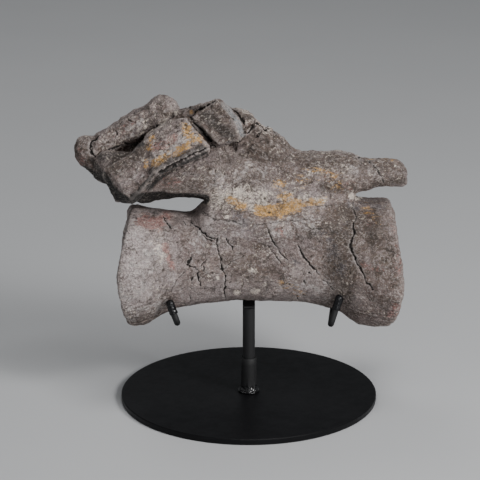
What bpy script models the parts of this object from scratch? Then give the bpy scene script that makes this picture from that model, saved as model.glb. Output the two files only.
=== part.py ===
"""Fossil tail vertebra, resting in the cradle of a black steel display stand.

Metres, +Z up. The origin is the centre of the underside of the round base plate.
The bone lies along X, its two forward bars at -X, and is seen from -Y.
"""

import math

import bmesh
import bpy
import numpy as np
from mathutils import Vector, noise
from mathutils.bvhtree import BVHTree

MM = 0.001
GAP = 0.0003

# Stand
DISC_DIAMETER = 0.250
DISC_THICKNESS = 0.006
DISC_CHAMFER = 0.0008
DISC_SIDES = 96
POST_DIAMETER = 0.012
POST_TOP = 0.0935
SOCKET_DIAMETER = 0.015
SOCKET_TOP = 0.042
WELD_RADIUS = 0.0105
WELD_HEIGHT = 0.0075
SADDLE_THICKNESS = 0.0025
SADDLE_REAR = 0.025
CROSSBAR_DIAMETER = 0.007
CROSSBAR_DEPTH = 0.0205
PRONG_DIAMETER = 0.006
SLEEVE_WALL = 0.0007
SLEEVE_LENGTH = 0.011
ROD_SIDES = 3

# Bone fineness
BONE_VOXEL = 0.0024
BONE_TRIANGLES = 6300
SECTION_POINTS = 40
FILLET_REACH = 0.012
FILLET_STEPS = 40


def clear_scene():
    for obj in list(bpy.data.objects):
        bpy.data.objects.remove(obj, do_unlink=True)


def new_collection(name):
    collection = bpy.data.collections.new(name)
    bpy.context.scene.collection.children.link(collection)
    return collection


def principled(name, colour, roughness, metallic=0.0):
    material = bpy.data.materials.new(name)
    material.use_nodes = True
    shader = material.node_tree.nodes["Principled BSDF"]
    shader.inputs["Base Color"].default_value = (*colour, 1.0)
    shader.inputs["Roughness"].default_value = roughness
    shader.inputs["Metallic"].default_value = metallic
    return material


def mesh_object(name, bm, collection):
    mesh = bpy.data.meshes.new(name)
    bm.to_mesh(mesh)
    obj = bpy.data.objects.new(name, mesh)
    collection.objects.link(obj)
    return obj


# Bone forms, in millimetres

def oval(squareness):
    """Points of a unit superellipse: 2 is round, more is boxy."""
    points = []
    for k in range(SECTION_POINTS):
        angle = 2 * math.pi * k / SECTION_POINTS
        across, up = math.cos(angle), math.sin(angle)
        points.append((
            math.copysign(abs(across) ** (2 / squareness), across),
            math.copysign(abs(up) ** (2 / squareness), up),
        ))
    return points


def skin(rings):
    """A closed surface through rings that all have as many points."""
    form = bmesh.new()
    rows = [[form.verts.new(Vector(point) * MM) for point in ring] for ring in rings]
    for row, following in zip(rows, rows[1:]):
        for k in range(len(row)):
            after = (k + 1) % len(row)
            form.faces.new((row[k], row[after], following[after], following[k]))
    form.faces.new(rows[0])
    form.faces.new(rows[-1])
    bmesh.ops.recalc_face_normals(form, faces=form.faces)
    return form


def limb(stations, squareness=2.3):
    """A swelling bar of bone. Each station is x, y, z, half width, half height, lean of its top towards +Y."""
    rings = []
    for x, y, z, wide, high, lean in stations:
        rings.append([
            (x, y + across * wide + up * lean, z + up * high)
            for across, up in oval(squareness)
        ])
    return skin(rings)


def lump(corners):
    """A broken, flat-faced piece: the hull of its corners."""
    form = bmesh.new()
    for corner in corners:
        form.verts.new(Vector(corner) * MM)
    hull = bmesh.ops.convex_hull(form, input=form.verts)
    bmesh.ops.delete(form, geom=hull["geom_interior"], context="VERTS")
    bmesh.ops.recalc_face_normals(form, faces=form.faces)
    return form


# Centrum stations: x, centre height, half width, half height
CENTRUM = [
    (-124.5, 137.0, 56.5, 56.0),
    (-121.5, 137.0, 58.0, 57.5),
    (-113, 136.5, 57.0, 57.0),
    (-105, 136.0, 54.0, 55.8),
    (-95, 138.0, 50.0, 53.5),
    (-84, 141.0, 45.5, 49.8),
    (-70, 143.0, 42.0, 47.0),
    (-45, 144.5, 39.0, 44.8),
    (-10, 145.5, 37.0, 42.8),
    (25, 145.5, 37.0, 42.8),
    (58, 145.0, 39.0, 44.5),
    (78, 146.0, 43.0, 49.0),
    (92, 145.5, 48.0, 55.2),
    (104, 142.5, 53.0, 60.0),
    (118, 141.0, 57.5, 61.0),
    (136, 140.5, 60.5, 61.5),
    (142.5, 140.0, 61.0, 61.0),
    (145.5, 140.0, 59.5, 59.5),
]
# Dished end faces: share of the rim radius, depth below the rim
DISH = [(0.93, -0.5), (0.85, 2.0), (0.72, 6.5), (0.5, 10.5), (0.2, 12.5)]
LEFT_CROWN = 12.0
RIGHT_CROWN = 11.0
CENTRUM_MIDDLE = 10.0
CENTRUM_HALF = 138.0


def centrum_ring(x, height, wide, high, scale=1.0):
    """One section of the spool. Its top and bottom lean inward near the ends, so that the end faces are crowned."""
    from_middle = (x - CENTRUM_MIDDLE) / CENTRUM_HALF
    crown = LEFT_CROWN if from_middle < 0 else RIGHT_CROWN
    nearness = min(abs(from_middle), 1.0) ** 5
    ring = []
    for across, up in oval(2.15):
        inward = math.copysign(crown * nearness * up * up * scale, -from_middle)
        ring.append((x + inward, across * wide * scale, height + up * high * scale))
    return ring


def centrum():
    left, right = CENTRUM[0], CENTRUM[-1]
    rings = [centrum_ring(left[0] + depth, *left[1:], scale) for scale, depth in reversed(DISH)]
    rings += [centrum_ring(*station) for station in CENTRUM]
    rings += [centrum_ring(right[0] - depth, *right[1:], scale) for scale, depth in DISH]
    return skin(rings)


def arch_body():
    """The solid wall over the centrum, drawn in towards its roof."""
    return limb([
        (-40, 1, 216, 22, 38, 2),
        (-32, 1, 215, 26, 46, 3),
        (-15, 0, 213, 28, 46, 3),
        (15, 0, 211, 28, 43, 2),
        (45, 0, 210, 28, 40, 0),
        (72, 0, 210, 27, 38, 0),
        (88, 0, 211, 24, 33, 0),
        (100, 0, 214, 17, 24, 0),
    ], squareness=2.3)


def arch_foot():
    """The broad shoulders where the arch meets the centrum."""
    return limb([
        (-58, 0, 168, 24, 16, 0),
        (-44, 0, 176, 31, 22, 0),
        (-30, 0, 180, 35, 24, 0),
        (0, 0, 181, 37, 24, 0),
        (35, 0, 180, 38.5, 24, 0),
        (66, 0, 179, 38.5, 25, 0),
        (88, 0, 176, 36, 25, 0),
        (106, 0, 172, 28, 22, 0),
    ], squareness=2.7)


def rear_process():
    """The joined rear facets, with a step on top and a blunt end."""
    return limb([
        (20, 0, 224, 24, 26, 0),
        (50, 0, 228, 24, 22, 0),
        (80, 0, 230, 22, 20.5, 0),
        (98, 0, 229.5, 19, 19.5, 0),
        (108, 0, 228, 17, 16.5, 0),
        (124, 0, 229, 16, 14, 0),
        (138, 0, 229.5, 15, 12.5, 0),
        (146, 0, 227.5, 13.5, 10.5, 0),
        (151, 0, 225.5, 9, 6, 0),
    ], squareness=2.5)


def near_wing():
    return limb([
        (-25, -15, 237, 12, 30, 6),
        (-45, -16, 236, 11, 24, 6),
        (-62, -18, 234, 10, 19, 6),
        (-82, -19, 232, 8, 14, 5),
        (-101, -20, 227, 5, 8, 4),
    ], squareness=2.6)


def far_wing():
    return limb([
        (-25, 20, 235, 12, 36, -4),
        (-55, 25, 233, 10, 35, -4),
        (-85, 30, 230, 8, 33, -3),
        (-112, 33, 228, 8, 29, -2),
        (-135, 34, 232, 8, 19, -2),
    ], squareness=2.8)


def wing_floor():
    """Matrix that fills the trough between the two wings."""
    return limb([
        (-34, 4, 227, 22, 22, 0),
        (-62, 5, 226, 20, 21, 0),
        (-88, 7, 221, 19, 19, 0),
        (-104, 9, 217, 18, 18, 0),
        (-116, 13, 216, 12, 13, 0),
        (-126, 16, 219, 8, 8, 0),
    ], squareness=3.0)


# Near bar: at each station the ridge and the low front edge of its bright face, x and z of each
NEAR_RIDGE_DEPTH = -20
NEAR_EDGE_DEPTH = -42
NEAR_BACK_DEPTH = -4
NEAR_BEVEL = 7
NEAR_BAR = [
    ((-59, 290), (-38, 267)),
    ((-67, 289), (-53, 261)),
    ((-79, 282), (-73, 250)),
    ((-93, 274), (-90, 242)),
    ((-101, 266), (-97, 231)),
    ((-114, 253), (-104, 222)),
    ((-128, 246), (-108, 218)),
    ((-137, 241), (-111, 216)),
]
# The dark broken end runs back from the last station to these corners
NEAR_END = [
    (-141, -20, 234), (-128, -25, 207), (-128, -18, 205), (-127, -12, 207), (-137, -6, 219), (-140, -12, 233),
]


def near_bar():
    """The near forward bar: a slab whose bright face leans back, with a bevel along its low edge."""
    rings = []
    for (ridge_x, ridge_z), (edge_x, edge_z) in NEAR_BAR:
        rings.append([
            (ridge_x, NEAR_RIDGE_DEPTH, ridge_z),
            (edge_x, NEAR_EDGE_DEPTH, edge_z),
            (edge_x + 1, NEAR_EDGE_DEPTH + 6, edge_z - NEAR_BEVEL),
            (edge_x + 1, NEAR_BACK_DEPTH - 8, edge_z - NEAR_BEVEL),
            (ridge_x + 2, NEAR_BACK_DEPTH, ridge_z - 22),
            (ridge_x, NEAR_BACK_DEPTH - 8, ridge_z - 3),
        ])
    return skin([*rings, NEAR_END])


def far_beam():
    """The far forward bar: thick, high at its rear end."""
    return limb([
        (-68, 29, 281, 9, 7, 0),
        (-72, 30, 282, 14, 12, 0),
        (-82, 31, 282, 16, 15, 0),
        (-92, 32, 279, 16, 16, 0),
        (-104, 33, 270, 16, 15.5, 0),
        (-118, 34, 262, 16, 14.5, 0),
        (-132, 34, 253, 15, 14, 0),
        (-146, 34, 246, 14, 13, 0),
        (-152, 34, 243, 11, 10, 0),
    ], squareness=2.6)


def far_knob():
    """The swollen low end of the far bar."""
    return limb([
        (-138, 32, 232, 12, 17, 0),
        (-147, 33, 235, 15, 20, 0),
        (-157, 35, 239, 15, 17, 0),
        (-164, 36, 240, 12, 12, 0),
        (-168, 36, 240, 6, 6, 0),
    ], squareness=2.2)


def far_neck():
    """What joins the knob to the matrix under the near bar."""
    return limb([
        (-150, 22, 226, 7, 8, 0),
        (-140, 12, 232, 13, 14, 0),
        (-126, 8, 232, 17, 15, 0),
        (-110, 8, 233, 17, 15, 0),
    ], squareness=2.4)


def bar_fill():
    """Matrix that closes the rear part of the gap between the two forward bars."""
    return limb([
        (-106, 8, 236, 12, 16, 0),
        (-98, 7, 249, 14, 16, 0),
        (-86, 6, 257, 15, 16, 0),
        (-74, 6, 264, 15, 16, 0),
        (-62, 8, 268, 14, 15, 0),
    ], squareness=2.6)


def top_ridge():
    """The low crest behind the broken block."""
    return lump([
        (-72, 14, 289), (-50, 12, 294), (-34, 8, 300), (-30, 22, 292), (-70, 26, 282), (-60, 2, 258),
        (-30, 0, 258), (0, 16, 284), (4, 0, 258), (-40, 28, 250), (0, 24, 250), (-74, 10, 262),
    ])


def spine_slope():
    """What is left of the neural spine, falling away towards the rear."""
    return lump([
        (-16, 4, 288), (4, 6, 284), (20, 6, 273), (32, 4, 261), (52, 2, 248), (-12, 18, 284),
        (18, 20, 266), (48, 14, 243), (-10, -16, 262), (22, -19, 254), (44, -18, 242),
        (-14, -12, 240), (30, 20, 235),
    ])


def spine_lumps():
    """Three rough lumps of matrix on the slope."""
    first = lump([
        (-14, 4, 293), (-2, 4, 290), (5, 6, 286), (6, -6, 279), (-6, -8, 274), (2, 12, 278), (-10, 14, 284),
    ])
    second = lump([
        (8, 2, 281), (13, 2, 279), (12, -10, 269), (3, -10, 271), (16, 10, 270), (6, 8, 270),
    ])
    third = lump([
        (17, 2, 277), (22, 3, 274), (23, -5, 266), (15, -9, 264), (25, 8, 264), (18, 10, 266),
    ])
    return [first, second, third]


# Crumbs of matrix, place and radius of each: on the spine's slope, then on the knob
CRUMBS = [
    ((-9, -9, 280), 4.5), ((-1, -11, 275), 5.0), ((6, -9, 273), 4.0), ((-4, -17, 265), 4.0),
    ((13, -11, 265), 4.5), ((20, -10, 262), 4.0), ((5, -18, 260), 4.5), ((-11, 3, 290), 3.5),
    ((28, -9, 256), 4.0), ((-10, -14, 272), 4.0),
    ((-160, 23, 240), 6.0), ((-151, 20, 230), 5.5), ((-143, 15, 222), 5.0), ((-163, 28, 247), 5.0),
    ((-148, 22, 243), 4.5), ((-156, 26, 228), 5.5),
]
CRUMB_CORNERS = 9
CRUMB_SEED = 5


def matrix_crumbs():
    """Small angular crumbs, their corners scattered on a ball."""
    random = np.random.default_rng(CRUMB_SEED)
    crumbs = []
    for place, radius in CRUMBS:
        ways = random.normal(size=(CRUMB_CORNERS, 3))
        ways /= np.linalg.norm(ways, axis=1)[:, None]
        crumbs.append(lump(np.array(place) + ways * radius))
    return crumbs


def broken_block():
    """The squarish fragment that stands on the arch, with one smooth broken edge."""
    return lump([
        (-32, -17, 307), (-55, -21, 291), (-28, -27, 265), (-8, -25, 268), (-13, -25, 285),
        (-25, -20, 303), (-19, -12, 298), (-6, -14, 281), (-4, -14, 270), (-26, 2, 299),
        (-42, 2, 288), (-22, 0, 262), (-4, 0, 268),
    ])


def fuse(name, forms, collection):
    """One skin round all the overlapping forms."""
    joined = bmesh.new()
    for form in forms:
        mesh = bpy.data.meshes.new("form")
        form.to_mesh(mesh)
        joined.from_mesh(mesh)
        bpy.data.meshes.remove(mesh)
    bone = mesh_object(name, joined, collection)
    joined.free()
    remesh = bone.modifiers.new("Fuse", "REMESH")
    remesh.mode = "VOXEL"
    remesh.voxel_size = BONE_VOXEL
    graph = bpy.context.evaluated_depsgraph_get()
    fused = bpy.data.meshes.new_from_object(bone.evaluated_get(graph))
    bone.modifiers.clear()
    bone.data = fused
    return bone


def fillet_seams(bone, forms):
    """Smooth hollows where grown forms run into each other, and nowhere else."""
    trees = [BVHTree.FromBMesh(form) for form in forms]
    seams = bone.vertex_groups.new(name="seams")
    for vertex in bone.data.vertices:
        found = [tree.find_nearest(vertex.co, FILLET_REACH)[3] for tree in trees]
        near = sorted(distance for distance in found if distance is not None)
        if len(near) > 1:
            seams.add([vertex.index], 1 - near[1] / FILLET_REACH, "REPLACE")
    smooth = bone.modifiers.new("Fillets", "SMOOTH")
    smooth.vertex_group = seams.name
    smooth.iterations = FILLET_STEPS


def points_of(mesh):
    flat = np.empty(len(mesh.vertices) * 3, np.float32)
    mesh.vertices.foreach_get("co", flat)
    return flat.reshape(-1, 3)


def normals_of(mesh):
    flat = np.empty(len(mesh.vertices) * 3, np.float32)
    mesh.vertex_normals.foreach_get("vector", flat)
    return flat.reshape(-1, 3)


def relief(place):
    """Height of the weathered surface over the plain form, in metres."""
    swell = 0.0022 * noise.fractal(place * 28, 1.0, 2.0, 3)
    broken_top = min(max((place.z - 0.235) / 0.03, 0.0), 1.0)
    crumbs = 0.0012 * noise.fractal(place * 75 + Vector((7, 3, 1)), 0.8, 2.0, 3)
    return swell + crumbs * (0.25 + 0.75 * broken_top)


def roughen(bone):
    points = points_of(bone.data)
    heights = np.array([relief(Vector(point)) for point in points])
    points += normals_of(bone.data) * heights[:, None]
    bone.data.vertices.foreach_set("co", points.ravel())
    bone.data.update()


def vertebra(collection, material):
    grown = [centrum(), arch_body(), arch_foot(), rear_process(), near_wing(), far_wing(), wing_floor()]
    broken = [near_bar(), far_beam(), far_knob(), far_neck(), top_ridge(), spine_slope(), broken_block()]
    broken += [bar_fill(), *spine_lumps(), *matrix_crumbs()]
    bone = fuse("vertebra", grown + broken, collection)
    fillet_seams(bone, grown)
    for form in grown + broken:
        form.free()
    roughen(bone)
    bone.data.calc_loop_triangles()
    facets = bone.modifiers.new("Facets", "DECIMATE")
    facets.ratio = BONE_TRIANGLES / len(bone.data.loop_triangles)
    bone.data.shade_smooth()
    bone.data.materials.append(material)
    return bone


# Stand

def base_disc(collection, paint):
    bpy.ops.mesh.primitive_cylinder_add(
        vertices=DISC_SIDES, radius=DISC_DIAMETER / 2, depth=DISC_THICKNESS,
        location=(0, 0, DISC_THICKNESS / 2),
    )
    disc = bpy.context.object
    disc.name = "base_disc"
    chamfer = disc.modifiers.new("Chamfer", "BEVEL")
    chamfer.width = DISC_CHAMFER
    chamfer.segments = 1
    chamfer.limit_method = "ANGLE"
    adopt(disc, collection, paint)
    return disc


def adopt(obj, collection, material):
    """Move an object into the collection, give it its material and shade its round sides smooth."""
    for holder in list(obj.users_collection):
        holder.objects.unlink(obj)
    collection.objects.link(obj)
    obj.data.materials.append(material)
    if obj.type == "MESH":
        obj.data.shade_smooth()
        obj.data.set_sharp_from_angle(angle=math.radians(35))


def base_socket(collection, paint):
    """The tube on the plate with its weld bead, turned round the post."""
    bore = POST_DIAMETER / 2 + GAP
    outside = SOCKET_DIAMETER / 2
    foot = DISC_THICKNESS + GAP
    weld_top = foot + WELD_HEIGHT
    profile = [
        (bore, SOCKET_TOP),
        (outside - 0.0003, SOCKET_TOP),
        (outside, SOCKET_TOP - 0.0003),
        (outside, weld_top),
    ]
    for k in range(1, 5):
        angle = math.pi / 2 * k / 5
        profile.append((
            WELD_RADIUS - (WELD_RADIUS - outside) * math.cos(angle),
            weld_top - WELD_HEIGHT * 0.8 * math.sin(angle),
        ))
    profile += [(WELD_RADIUS, foot + 0.001), (WELD_RADIUS - 0.0005, foot), (bore, foot)]
    form = bmesh.new()
    corners = [form.verts.new((radius, 0, height)) for radius, height in profile]
    for start, end in zip(corners, corners[1:] + corners[:1]):
        form.edges.new((start, end))
    socket = mesh_object("base_socket", form, collection)
    form.free()
    turn = socket.modifiers.new("Turn", "SCREW")
    turn.steps = turn.render_steps = 32
    turn.use_merge_vertices = True
    turn.merge_threshold = 0.00001
    socket.data.materials.append(paint)
    return socket


def rod(name, route, diameter, collection, material, bevel=ROD_SIDES):
    """A round bar along a smooth route of points in metres."""
    curve = bpy.data.curves.new(name, "CURVE")
    curve.dimensions = "3D"
    curve.bevel_depth = diameter / 2
    curve.bevel_resolution = bevel
    curve.use_fill_caps = True
    spline = curve.splines.new("POLY")
    spline.points.add(len(route) - 1)
    for point, place in zip(spline.points, route):
        point.co = (*place, 1.0)
    obj = bpy.data.objects.new(name, curve)
    collection.objects.link(obj)
    obj.data.materials.append(material)
    return obj


def rounded(corners, radius, steps=5):
    """A polyline with its inner corners bent to a radius."""
    corners = [Vector(corner) for corner in corners]
    route = [corners[0]]
    for before, corner, after in zip(corners, corners[1:], corners[2:]):
        to_before = (before - corner).normalized()
        to_after = (after - corner).normalized()
        half = to_before.angle(to_after) / 2
        reach = radius / math.tan(half)
        centre = corner + (to_before + to_after).normalized() * (radius / math.sin(half))
        start = corner + to_before * reach - centre
        end = corner + to_after * reach - centre
        turn = start.angle(end)
        for k in range(steps + 1):
            part = k / steps
            arm = (start * math.sin((1 - part) * turn) + end * math.sin(part * turn)) / math.sin(turn)
            route.append(centre + arm)
    route.append(corners[-1])
    return route


def post(collection, paint):
    bpy.ops.mesh.primitive_cylinder_add(
        vertices=32, radius=POST_DIAMETER / 2, depth=POST_TOP - DISC_THICKNESS - GAP,
        location=(0, 0, (POST_TOP + DISC_THICKNESS + GAP) / 2),
    )
    pole = bpy.context.object
    pole.name = "post"
    adopt(pole, collection, paint)
    return pole


def saddle(collection, paint):
    """The flat tongue on the post that carries the crossbar behind the middle of the bone."""
    front = -POST_DIAMETER / 2
    bpy.ops.mesh.primitive_cube_add(size=1.0)
    tongue = bpy.context.object
    tongue.name = "saddle"
    size = Vector((POST_DIAMETER, SADDLE_REAR - front, SADDLE_THICKNESS))
    middle = Vector((0, (SADDLE_REAR + front) / 2, POST_TOP + GAP + SADDLE_THICKNESS / 2))
    for vertex in tongue.data.vertices:
        vertex.co = Vector(a * b for a, b in zip(vertex.co, size)) + middle
    edges = tongue.modifiers.new("Edges", "BEVEL")
    edges.width = 0.0008
    edges.segments = 2
    adopt(tongue, collection, paint)
    return tongue


# Cradle: x and height of the crossbar's bends, in metres
CROSSBAR_ROUTE = [(-0.081, 0.0920), (-0.045, 0.0992), (0.0, 0.1005), (0.045, 0.0995), (0.087, 0.0905)]
# Yokes: x and height of the tips, the bends and the crossing under the crossbar
LEFT_YOKE = {
    "front": ((-0.0755, 0.1115), (-0.0680, 0.0915)),
    "rear": ((-0.0780, 0.1115), (-0.0800, 0.0915)),
    "under": (-0.0765, 0.0858),
}
RIGHT_YOKE = {
    "front": ((0.0860, 0.1185), (0.0780, 0.0925)),
    "rear": ((0.0860, 0.1185), (0.0850, 0.0925)),
    "under": (0.0825, 0.0842),
}
YOKE_LEAN = 0.0035
YOKE_BEND = 0.006
REACH_START = 0.075
REACH_STEP = 0.0002


def resting_depth(tree, x, height, side, clearance):
    """How far from the middle plane a rod at this place first comes as near the bone as it may."""
    depth = REACH_START
    while depth > 0:
        distance = tree.find_nearest(Vector((x, side * (depth - REACH_STEP), height)))[3]
        if distance < clearance:
            break
        depth -= REACH_STEP
    return depth


def yoke(name, places, tree, collection, paint, plastic):
    """A rod bent to a U under the centrum, with a sleeve on each of its two tips."""
    clearance = PRONG_DIAMETER / 2 + SLEEVE_WALL + 2 * GAP
    prongs = {}
    for side, label in ((-1, "front"), (1, "rear")):
        (tip_x, tip_z), (bend_x, bend_z) = places[label]
        middle = ((tip_x + bend_x) / 2, (tip_z + bend_z) / 2)
        depth = max(resting_depth(tree, x, z, side, clearance) for x, z in ((tip_x, tip_z), middle))
        tip = Vector((tip_x, side * depth, tip_z))
        bend = Vector((bend_x, side * (depth + YOKE_LEAN), bend_z))
        prongs[label] = (tip, bend)
        sleeve(f"{name.split('_')[0]}_{label}_sleeve", tip, bend, collection, plastic)
    under_x, under_z = places["under"]
    corners = [*prongs["front"], Vector((under_x, CROSSBAR_DEPTH, under_z)), *reversed(prongs["rear"])]
    return rod(name, rounded(corners, YOKE_BEND), PRONG_DIAMETER, collection, paint)


def sleeve(name, tip, bend, collection, plastic):
    """A shrunk plastic tube with a domed, closed end over the tip of a prong."""
    inner = PRONG_DIAMETER / 2 + GAP
    outer = inner + SLEEVE_WALL
    dome = outer * 0.8
    profile = [(0, dome + GAP), (outer * 0.5, dome * 0.87 + GAP), (outer * 0.87, dome * 0.5 + GAP), (outer, GAP)]
    profile += [(outer, -SLEEVE_LENGTH), (inner, -SLEEVE_LENGTH), (inner, GAP), (0, GAP)]
    form = bmesh.new()
    corners = [form.verts.new((radius, 0, height)) for radius, height in profile]
    for start, end in zip(corners, corners[1:]):
        form.edges.new((start, end))
    cap = mesh_object(name, form, collection)
    form.free()
    turn = cap.modifiers.new("Turn", "SCREW")
    turn.steps = turn.render_steps = 16
    turn.use_merge_vertices = True
    turn.merge_threshold = 0.00001
    cap.location = tip
    cap.rotation_euler = (tip - bend).to_track_quat("Z", "Y").to_euler()
    cap.data.materials.append(plastic)
    return cap


def stand(bone, collection):
    paint = principled("black_paint", (0.012, 0.012, 0.013), 0.5)
    plastic = principled("black_sleeve", (0.01, 0.01, 0.011), 0.25)
    base_disc(collection, paint)
    base_socket(collection, paint)
    post(collection, paint)
    saddle(collection, paint)
    graph = bpy.context.evaluated_depsgraph_get()
    tree = BVHTree.FromObject(bone, graph)
    bends = [(x, CROSSBAR_DEPTH, z) for x, z in CROSSBAR_ROUTE]
    rod("crossbar", rounded(bends, 0.02), CROSSBAR_DIAMETER, collection, paint)
    yoke("left_yoke", LEFT_YOKE, tree, collection, paint, plastic)
    yoke("right_yoke", RIGHT_YOKE, tree, collection, paint, plastic)


def main():
    clear_scene()
    collection = new_collection("fossil_vertebra")
    stone = principled("fossil_bone", (0.23, 0.19, 0.165), 0.75)
    bone = vertebra(collection, stone)
    stand(bone, collection)


main()
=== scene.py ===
"""Fossil tail vertebra on its black steel display stand: fine surface, finishes, light and camera.

Metres, +Z up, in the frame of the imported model. The bone lies along X and is seen from -Y.
"""

import math

import bmesh
import bpy
import numpy as np
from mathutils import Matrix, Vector, noise
from mathutils.bvhtree import BVHTree
from mathutils.kdtree import KDTree


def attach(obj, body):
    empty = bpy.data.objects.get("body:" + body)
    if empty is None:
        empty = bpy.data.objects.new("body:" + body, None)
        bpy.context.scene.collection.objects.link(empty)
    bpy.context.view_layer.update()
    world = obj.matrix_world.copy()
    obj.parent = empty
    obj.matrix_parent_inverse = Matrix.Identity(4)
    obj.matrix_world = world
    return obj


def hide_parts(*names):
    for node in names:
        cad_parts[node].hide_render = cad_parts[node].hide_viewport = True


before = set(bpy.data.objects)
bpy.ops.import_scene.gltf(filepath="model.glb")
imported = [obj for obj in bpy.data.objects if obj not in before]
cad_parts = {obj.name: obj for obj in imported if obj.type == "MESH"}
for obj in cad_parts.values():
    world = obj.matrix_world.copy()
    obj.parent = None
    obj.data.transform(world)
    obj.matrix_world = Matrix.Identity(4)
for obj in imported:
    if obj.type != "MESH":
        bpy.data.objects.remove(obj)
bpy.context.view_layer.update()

MM = 0.001

# Camera, worked out from the photo: its frame is 480 pixels square
PHOTO_SIZE = 480
CAMERA_PLACE = (-0.0086, -2.4217, 0.9522)
CAMERA_TILT = math.radians(18.07)
CAMERA_LENS = 198.1
CAMERA_SENSOR = 36.0
CAMERA_REACH = 60.0

# Studio: place, size and energy of each light, all aimed at the bone
LIGHTS = {
    "key": ((1.45, -1.25, 1.20), 0.6, 39),
    "top": ((0.3, -0.55, 2.1), 0.7, 14),
    "low_fill": ((0.7, -1.95, 0.30), 1.0, 10),
    "side_fill": ((-1.6, -1.3, 1.0), 1.4, 3),
    "back": ((-0.7, 1.4, 2.1), 1.0, 8),
}
LIGHT_TARGET = (0.0, 0.0, 0.17)
SKY_COLOUR = (0.92, 0.96, 1.0)
SKY_STRENGTH = 0.16
FLOOR_HALF = 30.0
FLOOR_TONES = ((0.50, 0.505, 0.515), (0.54, 0.545, 0.55))

# Stand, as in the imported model
GAP = 0.0003
DISC_THICKNESS = 0.006
POST_DIAMETER = 0.012
SOCKET_DIAMETER = 0.015
SOCKET_TOP = 0.042
# Its finer parts
SOCKET_EDGE = 0.0004
SOCKET_STEPS = 120
WELD_RADIUS = 0.0105
WELD_HEIGHT = 0.0075
WELD_STEPS = 14
WELD_LUMPS = 0.0011
WELD_RIPPLES = 9
WELD_RIPPLE_HEIGHT = 0.0003
SLEEVE_WRINKLE = 0.0002
SLEEVE_VOXEL = 0.0003
ROD_VOXEL = 0.0006
ROUNDER_STEPS = 8

# Bone fineness
BONE_VOXEL = 0.00105
BONE_TRIANGLES = 190000
SECTION_POINTS = 96
STATION_STEPS = 4
FILLET_REACH = 0.012
FILLET_STEPS = 200
WEAR_STEPS = 2


# Camera, floor and light

def show(name, data):
    """A new object with this data, in the scene."""
    shown = bpy.data.objects.new(name, data)
    bpy.context.scene.collection.objects.link(shown)
    return shown


def add_camera():
    data = bpy.data.cameras.new("photo_camera")
    data.lens = CAMERA_LENS
    data.sensor_width = CAMERA_SENSOR
    data.clip_end = CAMERA_REACH
    camera = show("photo_camera", data)
    camera.location = CAMERA_PLACE
    camera.rotation_euler = (math.pi / 2 - CAMERA_TILT, 0, 0)
    bpy.context.scene.camera = camera


def add_lights():
    for name, (place, size, energy) in LIGHTS.items():
        data = bpy.data.lights.new(name, "AREA")
        data.size = size
        data.energy = energy
        light = show(name, data)
        light.location = place
        aim = Vector(LIGHT_TARGET) - Vector(place)
        light.rotation_euler = aim.to_track_quat("-Z", "Y").to_euler()
        light.visible_camera = False


def add_sky():
    world = bpy.data.worlds.new("studio")
    world.use_nodes = True
    background = world.node_tree.nodes["Background"]
    background.inputs["Color"].default_value = (*SKY_COLOUR, 1.0)
    background.inputs["Strength"].default_value = SKY_STRENGTH
    bpy.context.scene.world = world


def add_floor():
    corners = [(FLOOR_HALF * x, FLOOR_HALF * y, 0) for x, y in ((-1, -1), (1, -1), (1, 1), (-1, 1))]
    mesh = bpy.data.meshes.new("floor")
    mesh.from_pydata(corners, [], [(0, 1, 2, 3)])
    floor = show("floor", mesh)
    nodes = Nodes("floor_paper")
    nodes.give("Base Color", nodes.blend(nodes.noise(3, detail=3), *FLOOR_TONES))
    nodes.give("Roughness", 0.85)
    mesh.materials.append(nodes.material)


# Node helper

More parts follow.
